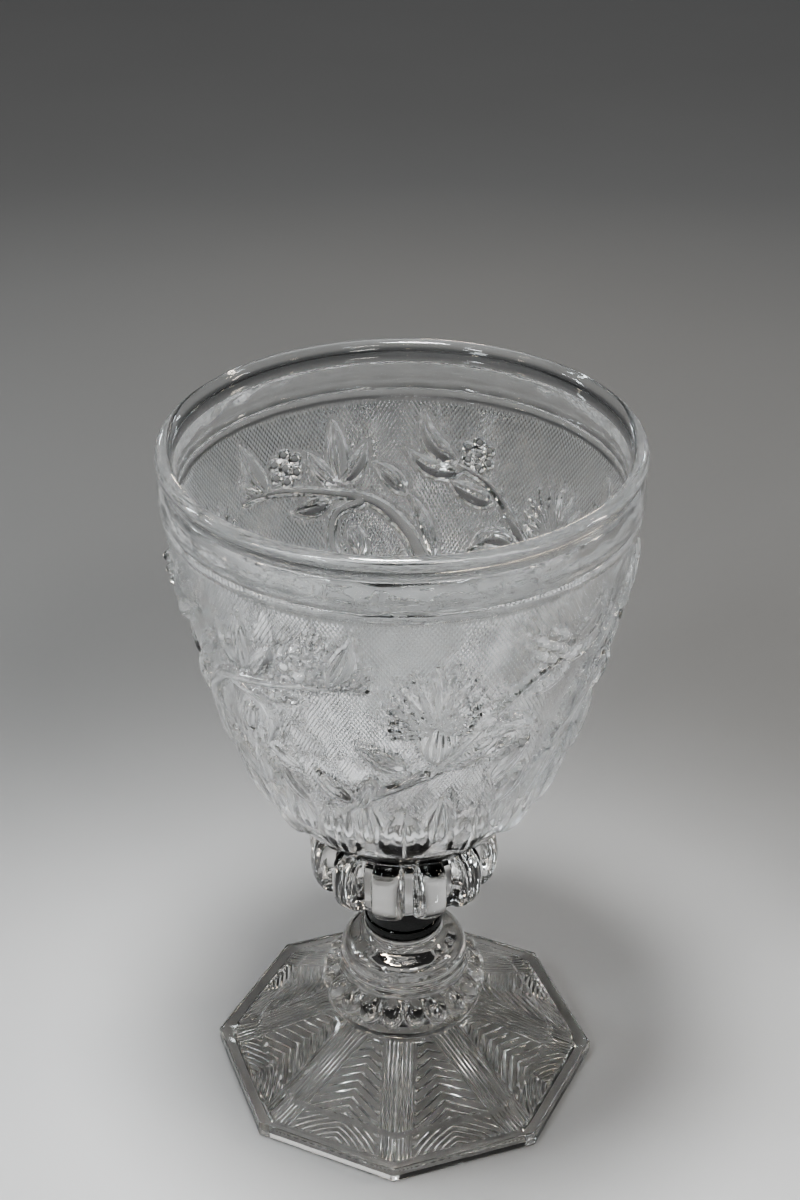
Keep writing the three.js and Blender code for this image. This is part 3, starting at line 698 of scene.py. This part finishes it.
def fine_cells(near):
    # Cells of which one of the nine points is near the ornament
    rows = near.shape[0] // 2
    columns = near.shape[1] // 2
    wide = np.concatenate([near, near[:, :1]], axis=1)
    fine = np.any([wide[row:row + 2 * rows - 1:2, column:column + 2 * columns - 1:2]
                   for row in range(3) for column in range(3)], axis=0)
    fine[[0, -1]] = False
    return fine


def cell_triangles(fine):
    # Triangles of all cells. Fine cells are cut in four, and those next to them fan out.
    rows, columns = fine.shape
    middles = [fine | np.roll(fine, step, axis=axis) for step, axis in ((1, 0), (-1, 1), (-1, 0), (1, 1))]
    middles[0][0] = False
    middles[2][-1] = False
    fans = ~fine & np.any(middles, axis=0)
    even = (np.arange(rows)[:, None] + np.arange(columns)[None, :]) % 2 == 0
    found = []

    def corner(row, column):
        lines = (2 * np.arange(rows)[:, None] + row) * (2 * columns)
        return lines + (2 * np.arange(columns)[None, :] + column) % (2 * columns)

    def take(mask, *corners):
        found.append(np.stack([corner(*c)[mask] for c in corners], 1))

    def halves(mask, a, b, c, d):
        take(mask & even, a, b, c)
        take(mask & even, a, c, d)
        take(mask & ~even, a, b, d)
        take(mask & ~even, b, c, d)

    square = [(0, 0), (0, 2), (2, 2), (2, 0)]
    halves(~fine & ~fans, *square)
    for row in (0, 1):
        for column in (0, 1):
            halves(fine, (row, column), (row, column + 1), (row + 1, column + 1), (row + 1, column))
    for k, middle in enumerate([(0, 1), (1, 2), (2, 1), (1, 0)]):
        start = square[k]
        end = square[(k + 1) % 4]
        take(fans & ~middles[k], start, end, (1, 1))
        take(fans & middles[k], start, middle, (1, 1))
        take(fans & middles[k], middle, end, (1, 1))
    return np.concatenate(found)


def add_ground(surface):
    # The ornamented wall, in cells half a diamond wide
    columns = 2 * DIAMONDS
    rows = round((wall_length - ground_start) / DIAMOND_ROW)
    travels = np.linspace(ground_start, wall_length, 2 * rows + 1)
    angles = np.arange(2 * columns) * 360 / (2 * columns)
    height, edge = wall_relief(angles, travels)
    used, numbers = np.unique(cell_triangles(fine_cells(edge < BORDER_WIDTH)), return_inverse=True)
    numbers = numbers.reshape(-1, 3)
    row, column = np.divmod(used, 2 * columns)
    radius, base, across, up = wall_at(travels[row])
    lift = height[row, column]
    radius = np.minimum(radius + lift * across, MOUTH_RADIUS - RELIEF_CLEARANCE)
    points = on_circle(radius, np.radians(angles[column]), BOWL_BOTTOM + base + lift * up)
    end = (wall_radius[-1], BOWL_BOTTOM + wall_height[-1])
    ids = surface.add_stretch(points, column / (2 * columns), travels[row] - ground_start, end)
    surface.face(ids[numbers])
    edge_of = lambda line: ids[np.searchsorted(used, line * 2 * columns + 2 * np.arange(columns))]
    surface.join(surface.edge, edge_of(0))
    surface.edge = edge_of(2 * rows)


def wave(count, height, start):
    # Slow unevenness round a ring, between -1 and 1
    turn = 2 * math.pi * np.arange(count) / count
    return sum(size * np.sin(n * turn + start * n + lean * height) for n, size, lean in WAVES)


def band_profile():
    # Fillet, collar, groove and rounded lip
    fillet = MOUTH_RADIUS - FILLET_INSET
    profile = [(fillet + out, GROUND_HEIGHT + up) for out, up in FILLET_OUTLINE]
    collar = [(MOUTH_RADIUS - COLLAR_INSET - inset * GROOVE_DEPTH, COLLAR_BOTTOM + rise * COLLAR_HEIGHT)
              for inset, rise in COLLAR_OUTLINE]
    profile += list(spline(collar, COLLAR_STEPS))
    half = LIP_THICKNESS / 2
    lip_height = COLLAR_BOTTOM + COLLAR_HEIGHT + GROOVE_HEIGHT + half
    return profile + arc(MOUTH_RADIUS - half, lip_height, half, LIP_START_ANGLE, 180, LIP_STEPS)


def collar_ripple(height):
    # Fades out towards both edges of the collar
    edge = min(height - COLLAR_BOTTOM, COLLAR_BOTTOM + COLLAR_HEIGHT - height)
    fade = np.clip(edge / COLLAR_WAVE_FADE, 0, 1)
    return COLLAR_WAVE * fade * (wave(BAND_SEGMENTS, height, COLLAR_WAVE_TURN) - 1) / 2


def inside_at(share):
    radius, height, across, up = wall_at(share * wall_length)
    thickness = WALL_THICKNESS + (FLOOR_THICKNESS - WALL_THICKNESS) * (1 - share) ** WALL_POWER
    return radius - thickness * across, height - thickness * up


def make_bowl():
    surface = Surface(BOWL_BOTTOM)
    surface.grow(BAND_SEGMENTS, BOWL_WAFER_RADIUS, BOWL_BOTTOM, joint=True)
    for travel in np.linspace(0, ground_start, SMOOTH_ROWS + 1)[1:-1]:
        radius, height, _, _ = wall_at(travel)
        surface.grow(BAND_SEGMENTS, radius, BOWL_BOTTOM + height)
    add_ground(surface)
    for radius, height in band_profile():
        radius = np.minimum(radius + collar_ripple(height), MOUTH_RADIUS)
        surface.grow(BAND_SEGMENTS, radius, BOWL_BOTTOM + height)
    for share in 1 - np.arange(INSIDE_ROWS) / INSIDE_ROWS:
        radius, height = inside_at(share)
        ripple = INSIDE_WAVE * share ** 2 * wave(INSIDE_SEGMENTS, height, INSIDE_WAVE_TURN)
        surface.grow(INSIDE_SEGMENTS, radius + ripple, BOWL_BOTTOM + height)
    for share in FLOOR_SHARES:
        surface.grow(INSIDE_SEGMENTS, inside_at(0)[0] * share, BOWL_BOTTOM + FLOOR_THICKNESS)
    surface.close(BOWL_BOTTOM + FLOOR_THICKNESS)
    return surface


def make_wafer(radius, low, high):
    surface = Surface(low)
    surface.grow(WAFER_SEGMENTS, radius, low, joint=True)
    for turn in np.linspace(0, math.pi, WAFER_ROWS + 1)[1:]:
        bulge = WAFER_BULGE * math.sin(turn) ** WAFER_POWER
        height = (low + high) / 2 - (high - low) / 2 * math.cos(turn)
        surface.grow(WAFER_SEGMENTS, radius + bulge, height)
    surface.close(high, joint=True)
    return surface


def knop_outline():
    # Height, radius between the lobes, how far a lobe stands out and how far the gaps dip
    height = KNOP_TOP - KNOP_BOTTOM
    top = LOBE_TOP - KNOP_BOTTOM
    seat = BOWL_WAFER_RADIUS + KNOP_SEAT_MARGIN
    out, up = NECK_STEP
    rows = [(0, STEM_RADIUS, 0, 0), (up, STEM_RADIUS + out, 0, 0)]
    for rise, out, lobe in NECK_OUTLINE:
        radius = NECK_RADIUS + (CORE_RADIUS - NECK_RADIUS) * out
        rows.append((rise * NECK_HEIGHT, radius, lobe * LOBE_DEPTH, 0))
    for rise, inset, lobe, dip in WHEEL_OUTLINE:
        rows.append((NECK_HEIGHT + (top - NECK_HEIGHT) * rise, CORE_RADIUS - inset * LOBE_DEPTH,
                     lobe * LOBE_DEPTH, dip * LOBE_GAP_DIP))
    out, lobe, dip = SHOULDER
    rows.append(((height + top) / 2, seat + out, lobe * LOBE_DEPTH, dip))
    out, up = SEAT_STEP
    return rows + [(height + up, seat + out, 0, 0), (height, seat, 0, 0)]


def lobe_share(angle):
    pitch = 360 / LOBE_COUNT
    offset = angle - pitch * np.round(angle / pitch)
    across = np.abs(offset) / (0.5 * pitch * LOBE_SHARE)
    return np.sqrt(np.clip(1 - across ** LOBE_POWER, 0, 1))


def make_knop():
    surface = Surface(KNOP_BOTTOM)
    count = LOBE_COUNT * LOBE_SEGMENTS
    share = lobe_share(360 * np.arange(count) / count)
    for row, (height, radius, lobe, dip) in enumerate(spline(knop_outline(), KNOP_STEPS)):
        z = KNOP_BOTTOM + height - dip * (1 - share)
        surface.grow(count, radius + lobe * share, z, FIRST_LOBE_ANGLE, joint=row == 0)
    surface.close(KNOP_TOP, joint=True)
    return surface


# Half of one panel under the foot, with p outwards along its middle line and q towards its hip
half_side = math.radians(180 / FOOT_CORNERS)
foot_edge_radius = FOOT_CORNER_RADIUS - FOOT_EDGE_ROUNDING
rim_inside = foot_edge_radius - RESTING_RIM_WIDTH
panel_start = RIDGES_START * math.cos(half_side)
panel_step = FAN_STEP_RADIUS * math.cos(half_side)
fans_start = panel_step + FAN_STEP_WIDTH
panel_end = (rim_inside - HOLLOW_STEP_SLOPE) * math.cos(half_side)
hollow_top = FOOT_EDGE_HEIGHT + DOME_HEIGHT - HOLLOW_ROOF_THICKNESS
chevron_slope = 1 / math.tan(math.radians(CHEVRON_ANGLE))


def to_hip(p, q):
    return p * math.sin(half_side) - q * math.cos(half_side)


def fan_level(p, q):
    rise = np.maximum(panel_end - p, 0)
    return ((np.abs(q) / FAN_STRETCH) ** FAN_POWER + rise ** FAN_POWER) ** (1 / FAN_POWER)


def ridge_wave(phase):
    return np.interp(phase % 1, *RIDGE_SECTION)


def ridge_height(p, q):
    inner = p < panel_step
    hip = to_hip(p, q)
    band = hip < HIP_BAND
    fans = FAN_HEIGHT * ridge_wave(fan_level(p, q) / FAN_PITCH)
    chevrons = CHEVRON_HEIGHT * ridge_wave((p - chevron_slope * q - panel_start) / CHEVRON_PITCH)
    lines = HIP_HEIGHT * ridge_wave(hip / HIP_PITCH)
    height = np.where(band, lines, np.where(inner, chevrons, fans))
    ends = np.where(inner, np.minimum(p - panel_start, panel_step - p),
                    np.minimum(p - fans_start, panel_end - p))
    ends = np.where(band, ends, np.minimum(ends, hip - HIP_BAND))
    return height * np.clip(ends / RIDGE_FADE, 0, 1)


def clip_line(points, sides):
    # The stretches of a line of points that lie inside all sides, each a function that is
    # positive inside and even along a segment
    kept = []
    for a, b in zip(points[:-1], points[1:]):
        ends = [(side(*a), side(*b)) for side in sides]
        if any(start < 0 and end < 0 for start, end in ends):
            continue
        first = max([0, *(start / (start - end) for start, end in ends if start < 0)])
        last = min([1, *(start / (start - end) for start, end in ends if end < 0)])
        if first < last - TINY:
            a = np.asarray(a, float)
            run = np.asarray(b, float) - a
            kept.append((a + first * run, a + last * run))
    return kept


def panel_lines():
    # Every line that the half panel's triangles follow
    hip_q = lambda p: p * math.tan(half_side)
    middle = lambda p, q: q
    after_start = lambda p, q: p - panel_start
    before_step = lambda p, q: panel_step - p
    after_step = lambda p, q: p - fans_start
    before_end = lambda p, q: panel_end - p
    past_band = lambda p, q: to_hip(p, q) - HIP_BAND
    lines = [((p, 0), (p, hip_q(p))) for p in (
        panel_start + RIDGE_FADE, panel_step - RIDGE_FADE, panel_step, fans_start,
        fans_start + RIDGE_FADE, panel_end - RIDGE_FADE)]
    count = round(RIDGE_LINES * HIP_BAND / HIP_PITCH)
    for offset in [*np.arange(1, count + 1) * HIP_PITCH / RIDGE_LINES, HIP_BAND + RIDGE_FADE]:
        line = [(p, hip_q(p) - offset / math.cos(half_side)) for p in (panel_start, panel_end)]
        lines += clip_line(line, [middle, before_step])
        lines += clip_line(line, [middle, after_step])
    count = int((panel_step - panel_start) / (CHEVRON_PITCH / RIDGE_LINES)) + 1
    for k in range(-3 * count, count):
        p = panel_start + k * CHEVRON_PITCH / RIDGE_LINES
        line = [(p, 0), (p + chevron_slope * panel_end, panel_end)]
        lines += clip_line(line, [middle, past_band, after_start, before_step])
    count = round(RIDGE_LINES * fan_level(panel_step, hip_q(panel_end)) / FAN_PITCH)
    power = 2 / FAN_POWER
    for level in np.arange(1, count + 1) * FAN_PITCH / RIDGE_LINES:
        turns = np.linspace(0, math.pi / 2, FAN_STEPS + 1)
        curve = [(panel_end - level * max(math.sin(t), 0) ** power,
                  level * FAN_STRETCH * max(math.cos(t), 0) ** power) for t in turns]
        lines += clip_line(curve, [middle, past_band, after_step, before_end])
    return lines


def half_panel():
    # Places and triangles of the half panel, with its edges exactly in place
    slant = math.tan(half_side)
    corners = [(panel_start, 0), (panel_end, 0), (panel_end, panel_end * slant),
               (panel_start, panel_start * slant)]
    points = [Vector(corner) for corner in corners]
    edges = [(0, 1), (1, 2), (2, 3), (3, 0)]
    for a, b in panel_lines():
        edges.append((len(points), len(points) + 1))
        points += [Vector(a), Vector(b)]
    found, _, faces, _, _, _ = delaunay_2d_cdt(points, edges, [(0, 1, 2, 3)], 1, CUT_TOLERANCE)
    p, q = np.array([tuple(point) for point in found]).T
    q = np.where(np.abs(q) < EDGE_TOLERANCE, 0, q)
    q = np.where(np.abs(to_hip(p, q)) < EDGE_TOLERANCE, p * slant, q)
    for end in (panel_start, panel_end):
        p = np.where(np.abs(p - end) < EDGE_TOLERANCE, end, p)
    return p, q, np.array([tuple(face) for face in faces if len(face) == 3])


def panel_height(p, q):
    rise = (hollow_top - HOLLOW_STEP) / (rim_inside - HOLLOW_STEP_SLOPE - HOLLOW_TOP_RADIUS)
    roof = HOLLOW_STEP + rise * (panel_end - p) / math.cos(half_side)
    ledge = FAN_STEP_DROP * np.clip((p - panel_step) / FAN_STEP_WIDTH, 0, 1)
    ledge = ledge * np.clip((panel_end - p) / RIDGE_FADE, 0, 1)
    height = np.maximum(roof - ledge - ridge_height(p, q), LEAST_HOLLOW_HEIGHT)
    return np.where(p == panel_end, HOLLOW_STEP, height)


def add_hollow(surface):
    # The ridged underside, from its inner to its outer edge
    p, q, triangles = half_panel()
    copies = np.arange(2 * FOOT_CORNERS)[:, None]
    middle = (copies // 2 * 2 + 1) * half_side
    side = 1 - copies % 2 * 2
    turn = (middle + side * np.arctan2(q, p)).ravel()
    radius, height, outward = (np.tile(values, len(copies)) for values in
                               (np.hypot(p, q), panel_height(p, q), p))
    points = on_circle(radius, turn, height)
    _, kept, numbers = np.unique(np.round(points, 3), axis=0, return_index=True, return_inverse=True)
    # Every second copy is a mirror image, and all of them face down
    triangles = np.where(side[:, None] > 0, triangles[:, ::-1], triangles) + len(p) * copies[:, None]
    merged = numbers.reshape(-1)[triangles.reshape(-1, 3)]
    points = points[kept]
    outward = outward[kept]
    shares = (np.degrees(turn) / 360 % 1)[kept]
    surface.step(panel_start, hollow_top)
    ids = surface.add_stretch(points, shares, outward - panel_start, (panel_end, HOLLOW_STEP))
    a, b, c = (points[merged[:, k]] for k in range(3))
    area = np.linalg.norm(np.cross(b - a, c - a), axis=1)
    surface.face(ids[merged[area > TINY]])
    inner, outer = (np.flatnonzero(outward == end) for end in (panel_start, panel_end))
    surface.join(surface.edge, ids[inner[np.argsort(shares[inner])]])
    surface.edge = ids[outer[np.argsort(shares[outer])]]


def octagon_share(angle):
    side = 360 / FOOT_CORNERS
    return math.cos(half_side) / np.cos(np.radians(angle % side - side / 2))


def bead_projection(angle, rise):
    turned = (angle - FIRST_BEAD_ANGLE) * BEAD_COUNT / 360
    across = 2 * BEAD_SQUEEZE * (turned - np.round(turned))
    up = 2 * rise - 1
    return BEAD_PROJECTION * np.sqrt(np.clip(1 - up * up - across * across, 0, 1))


def foot_rings():
    # Radius and height of each ring from the inside of the rim that the foot stands on
    angle = 360 * np.arange(FOOT_SEGMENTS) / FOOT_SEGMENTS
    octagon = octagon_share(angle)
    edge = FOOT_EDGE_ROUNDING
    outline = [(rim_inside, 0), *arc(foot_edge_radius, edge, edge, -90, 0, FOOT_EDGE_STEPS)]
    outline += arc(foot_edge_radius, FOOT_EDGE_HEIGHT - edge, edge, 0, 90, FOOT_EDGE_STEPS)
    rings = [(radius * octagon, height) for radius, height in outline]
    outer = foot_edge_radius * octagon
    for inward in np.arange(1, DOME_ROWS + 1) / DOME_ROWS:
        radius = outer + (BASE_RING_RADIUS - outer) * inward
        rings.append((radius, FOOT_EDGE_HEIGHT + DOME_HEIGHT * inward ** DOME_POWER))
    ring_bottom = FOOT_EDGE_HEIGHT + DOME_HEIGHT
    bead_bottom = ring_bottom + BASE_RING_HEIGHT
    bell_bottom = bead_bottom + BEAD_HEIGHT
    rings += arc(BASE_RING_RADIUS - BASE_RING_INSET, ring_bottom + BASE_RING_HEIGHT / 2,
                 BASE_RING_ROUNDING, *BASE_RING_ARC, BASE_RING_STEPS)
    seat = BELL_RADIUS + BEAD_SEAT_STEP
    rings.append((seat + BEAD_SEAT_TAPER, bead_bottom))
    for row in range(1, BEAD_ROWS):
        rise = (1 - math.cos(math.pi * row / BEAD_ROWS)) / 2
        radius = seat + BEAD_SEAT_TAPER * (1 - rise) + bead_projection(angle, rise)
        rings.append((radius, bead_bottom + rise * BEAD_HEIGHT))
    for out, rise in spline(BELL_OUTLINE, BELL_STEPS):
        rings.append((STEM_RADIUS + (BELL_RADIUS - STEM_RADIUS) * out, bell_bottom + rise * BELL_HEIGHT))
    half = (FOOT_TOP - bell_bottom - BELL_HEIGHT) / 2
    rings += arc(STEM_RADIUS + STEM_RING_PROJECTION - half, FOOT_TOP - half - STEM_RING_CLEARANCE,
                 half, *STEM_RING_ARC, STEM_RING_STEPS)
    rings.append((STEM_RADIUS, FOOT_TOP))
    return rings


def make_foot():
    surface = Surface(hollow_top + HOLLOW_CROWN)
    for share in CROWN_SHARES:
        height = hollow_top + HOLLOW_CROWN * (1 - (CROWN_RADIUS / HOLLOW_TOP_RADIUS * share) ** 2)
        surface.grow(FOOT_SEGMENTS // 2, CROWN_RADIUS * share, height)
    add_hollow(surface)
    for radius, height in foot_rings():
        surface.grow(FOOT_SEGMENTS, radius, height)
    surface.close(FOOT_TOP, joint=True)
    return surface


def add_object(name, data):
    thing = bpy.data.objects.new(name, data)
    bpy.context.scene.collection.objects.link(thing)
    return thing


def new_nodes(owner):
    owner.use_nodes = True
    return owner.node_tree.nodes, owner.node_tree.links


def set_inputs(node, values):
    for name, value in values.items():
        node.inputs[name].default_value = value
    return node


def noise(nodes, links, scale, detail=2):
    # Noise that stays with its object
    place_node = nodes.new("ShaderNodeTexCoord")
    texture = set_inputs(nodes.new("ShaderNodeTexNoise"), {"Scale": scale, "Detail": detail})
    links.new(place_node.outputs["Object"], texture.inputs["Vector"])
    return texture.outputs["Fac"]


def blend(nodes, links, factor, first, second):
    # A colour between two
    colour = nodes.new("ShaderNodeMix")
    colour.data_type = "RGBA"
    set_inputs(colour, {"A": (*first, 1), "B": (*second, 1)})
    links.new(factor, colour.inputs["Factor"])
    return colour.outputs["Result"]


def bump(nodes, links, height, strength, distance):
    node = set_inputs(nodes.new("ShaderNodeBump"), {"Strength": strength, "Distance": distance * MM})
    links.new(height, node.inputs["Height"])
    return node


# Clear pressed glass: nearly smooth, with the slow unevenness and fine grain of a mould
def crystal(name, tint):
    material = bpy.data.materials.new(name)
    nodes, links = new_nodes(material)
    glass = set_inputs(nodes["Principled BSDF"], {"Transmission Weight": 1, "IOR": GLASS_INDEX})
    slow = noise(nodes, links, SWELL_SCALE)
    smoothest, roughest = GLASS_ROUGHNESS
    roughness = set_inputs(nodes.new("ShaderNodeMapRange"), {"To Min": smoothest, "To Max": roughest})
    links.new(slow, roughness.inputs["Value"])
    links.new(roughness.outputs["Result"], glass.inputs["Roughness"])
    colour = blend(nodes, links, slow, tint, [(1 + value) / 2 for value in tint])
    links.new(colour, glass.inputs["Base Color"])
    swell = bump(nodes, links, slow, SWELL_STRENGTH, SWELL_HEIGHT)
    grain = bump(nodes, links, noise(nodes, links, GRAIN_SCALE, GRAIN_DETAIL), GRAIN_STRENGTH, GRAIN_HEIGHT)
    links.new(swell.outputs["Normal"], grain.inputs["Normal"])
    links.new(grain.outputs["Normal"], glass.inputs["Normal"])
    return material


# Where two pieces are fused the glass runs on, so light passes straight through
def fused_glass():
    material = bpy.data.materials.new("fused_joint")
    nodes, _ = new_nodes(material)
    values = {"Base Color": (1, 1, 1, 1), "Transmission Weight": 1, "Roughness": 0, "IOR": 1}
    set_inputs(nodes["Principled BSDF"], values)
    return material


def flat_map(surface, triangles):
    # Places of all triangles' corners. One that crosses the seam stays in one piece.
    places = np.concatenate(surface.places)
    corners = places[triangles]
    round_share = corners[:, :, 0]
    crosses = np.ptp(round_share, axis=1) > 0.5
    round_share += crosses[:, None] & (round_share < 0.5)
    corners[:, :, 1] /= places[:, 1].max()
    return corners


def make_piece(node, surface, material):
    points = np.concatenate(surface.points) * MM
    triangles = np.concatenate(surface.triangles)
    mesh = bpy.data.meshes.new(node + "_glass")
    mesh.vertices.add(len(points))
    mesh.vertices.foreach_set("co", points.astype(np.float32).ravel())
    mesh.loops.add(3 * len(triangles))
    mesh.loops.foreach_set("vertex_index", triangles.astype(np.int32).ravel())
    mesh.polygons.add(len(triangles))
    mesh.polygons.foreach_set("loop_start", np.arange(0, 3 * len(triangles), 3, dtype=np.int32))
    mesh.polygons.foreach_set("material_index", np.concatenate(surface.joint).astype(np.int32))
    unwrapped = mesh.uv_layers.new(name="OFBake")
    unwrapped.data.foreach_set("uv", flat_map(surface, triangles).astype(np.float32).ravel())
    mesh.update(calc_edges=True)
    mesh.set_sharp_from_angle(angle=math.radians(SHARP_ANGLE))
    mesh.materials.append(material)
    mesh.materials.append(joint_glass)
    piece = add_object(mesh.name, mesh)
    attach(piece, "root")
    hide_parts(node)


joint_glass = fused_glass()
bowl_crystal = crystal("bowl_crystal", BOWL_TINT)
stem_crystal = crystal("stem_crystal", STEM_TINT)
make_piece("bowl", make_bowl(), bowl_crystal)
make_piece("bowl_wafer", make_wafer(BOWL_WAFER_RADIUS, seat_low.z, seat_high.z), stem_crystal)
make_piece("knop", make_knop(), stem_crystal)
make_piece("stem_wafer", make_wafer(STEM_RADIUS, wafer_low.z, wafer_high.z), stem_crystal)
make_piece("foot", make_foot(), stem_crystal)


# Pale floor
def make_floor():
    half = FLOOR_SIZE / 2 * MM
    line = np.linspace(-half, half, FLOOR_STEPS + 1)
    x, y = np.meshgrid(line, line)
    points = np.stack([x, y, np.full(x.shape, -FLOOR_GAP * MM)], 2).reshape(-1, 3)
    numbers = np.arange(len(points)).reshape(x.shape)
    corners = [numbers[:-1, :-1], numbers[:-1, 1:], numbers[1:, 1:], numbers[1:, :-1]]
    mesh = bpy.data.meshes.new("floor")
    mesh.from_pydata(points.tolist(), [], np.stack(corners, 2).reshape(-1, 4).tolist())
    material = bpy.data.materials.new("floor_paint")
    nodes, links = new_nodes(material)
    paint = nodes["Principled BSDF"]
    set_inputs(paint, {"Roughness": FLOOR_ROUGHNESS, "Specular IOR Level": FLOOR_SHINE})
    darker = [(1 - FLOOR_MOTTLE) * value for value in FLOOR_COLOUR]
    lighter = [(1 + FLOOR_MOTTLE) * value for value in FLOOR_COLOUR]
    colour = blend(nodes, links, noise(nodes, links, FLOOR_MOTTLE_SCALE), darker, lighter)
    links.new(colour, paint.inputs["Base Color"])
    mesh.materials.append(material)
    floor = add_object("floor", mesh)


# Studio light: soft lamps in a dim room, which gives the clear glass its dark edges
def make_lamp(name, kind, place, target, settings):
    data = bpy.data.lights.new(name, kind)
    for key, value in settings.items():
        setattr(data, key, value)
    lamp = add_object(name, data)
    aim = Vector(target) - Vector(place)
    lamp.location = Vector(place) * MM
    lamp.rotation_euler = aim.to_track_quat("-Z", "Y").to_euler()
    lamp.visible_camera = False


def make_soft_lamp(name, place, target, size, power, colour):
    settings = {"shape": "RECTANGLE", "size": size[0] * MM, "size_y": size[1] * MM,
                "energy": power, "spread": math.radians(LAMP_SPREAD), "color": colour}
    make_lamp(name, "AREA", place, target, settings)


def make_sparks():
    for k in range(SPARK_LAMPS):
        turn = 2 * math.pi * k / SPARK_LAMPS
        height = SPARK_HEIGHTS[k % len(SPARK_HEIGHTS)]
        place = (SPARK_DISTANCE * math.sin(turn), -SPARK_DISTANCE * math.cos(turn), height)
        colour = SPARK_COLOURS[k % len(SPARK_COLOURS)]
        make_soft_lamp(f"spark_lamp_{k}", place, SPARK_TARGET, SPARK_SIZE, SPARK_POWER, colour)


def make_room():
    world = bpy.data.worlds.new("room")
    bpy.context.scene.world = world
    nodes, links = new_nodes(world)
    place_node = nodes.new("ShaderNodeTexCoord")
    split = nodes.new("ShaderNodeSeparateXYZ")
    links.new(place_node.outputs["Generated"], split.inputs["Vector"])
    shade = nodes.new("ShaderNodeValToRGB")
    first, last = shade.color_ramp.elements
    first.position, first.color = ROOM_SHADES[0]
    last.position, last.color = ROOM_SHADES[-1]
    for position, colour in ROOM_SHADES[1:-1]:
        shade.color_ramp.elements.new(position).color = colour
    links.new(split.outputs["Z"], shade.inputs["Fac"])
    links.new(shade.outputs["Color"], nodes["Background"].inputs["Color"])


def make_camera():
    data = bpy.data.cameras.new("camera")
    data.lens = CAMERA_LENS
    data.shift_x = CAMERA_SHIFT
    data.clip_start = CAMERA_NEAR * MM
    camera = add_object("camera", data)
    turn = math.radians(CAMERA_AZIMUTH)
    place = Vector((CAMERA_DISTANCE * math.sin(turn), -CAMERA_DISTANCE * math.cos(turn), CAMERA_HEIGHT))
    tilt = Matrix.Rotation(math.radians(90 - CAMERA_PITCH), 4, "X")
    roll = Matrix.Rotation(math.radians(CAMERA_ROLL), 4, "Z")
    camera.matrix_world = Matrix.Translation(place * MM) @ Matrix.Rotation(turn, 4, "Z") @ tilt @ roll
    bpy.context.scene.camera = camera


make_floor()
make_room()
for name, lamp in LAMPS.items():
    make_lamp(name, *lamp)
for lamp in SOFT_LAMPS:
    make_soft_lamp(*lamp)
make_sparks()
make_camera()

# Light passes many surfaces of glass
scene = bpy.context.scene
scene.cycles.max_bounces = GLASS_BOUNCES
scene.cycles.transmission_bounces = GLASS_BOUNCES
scene.cycles.glossy_bounces = GLASS_BOUNCES // 2
scene.view_settings.view_transform = "AgX"
scene.view_settings.look = "AgX - High Contrast"
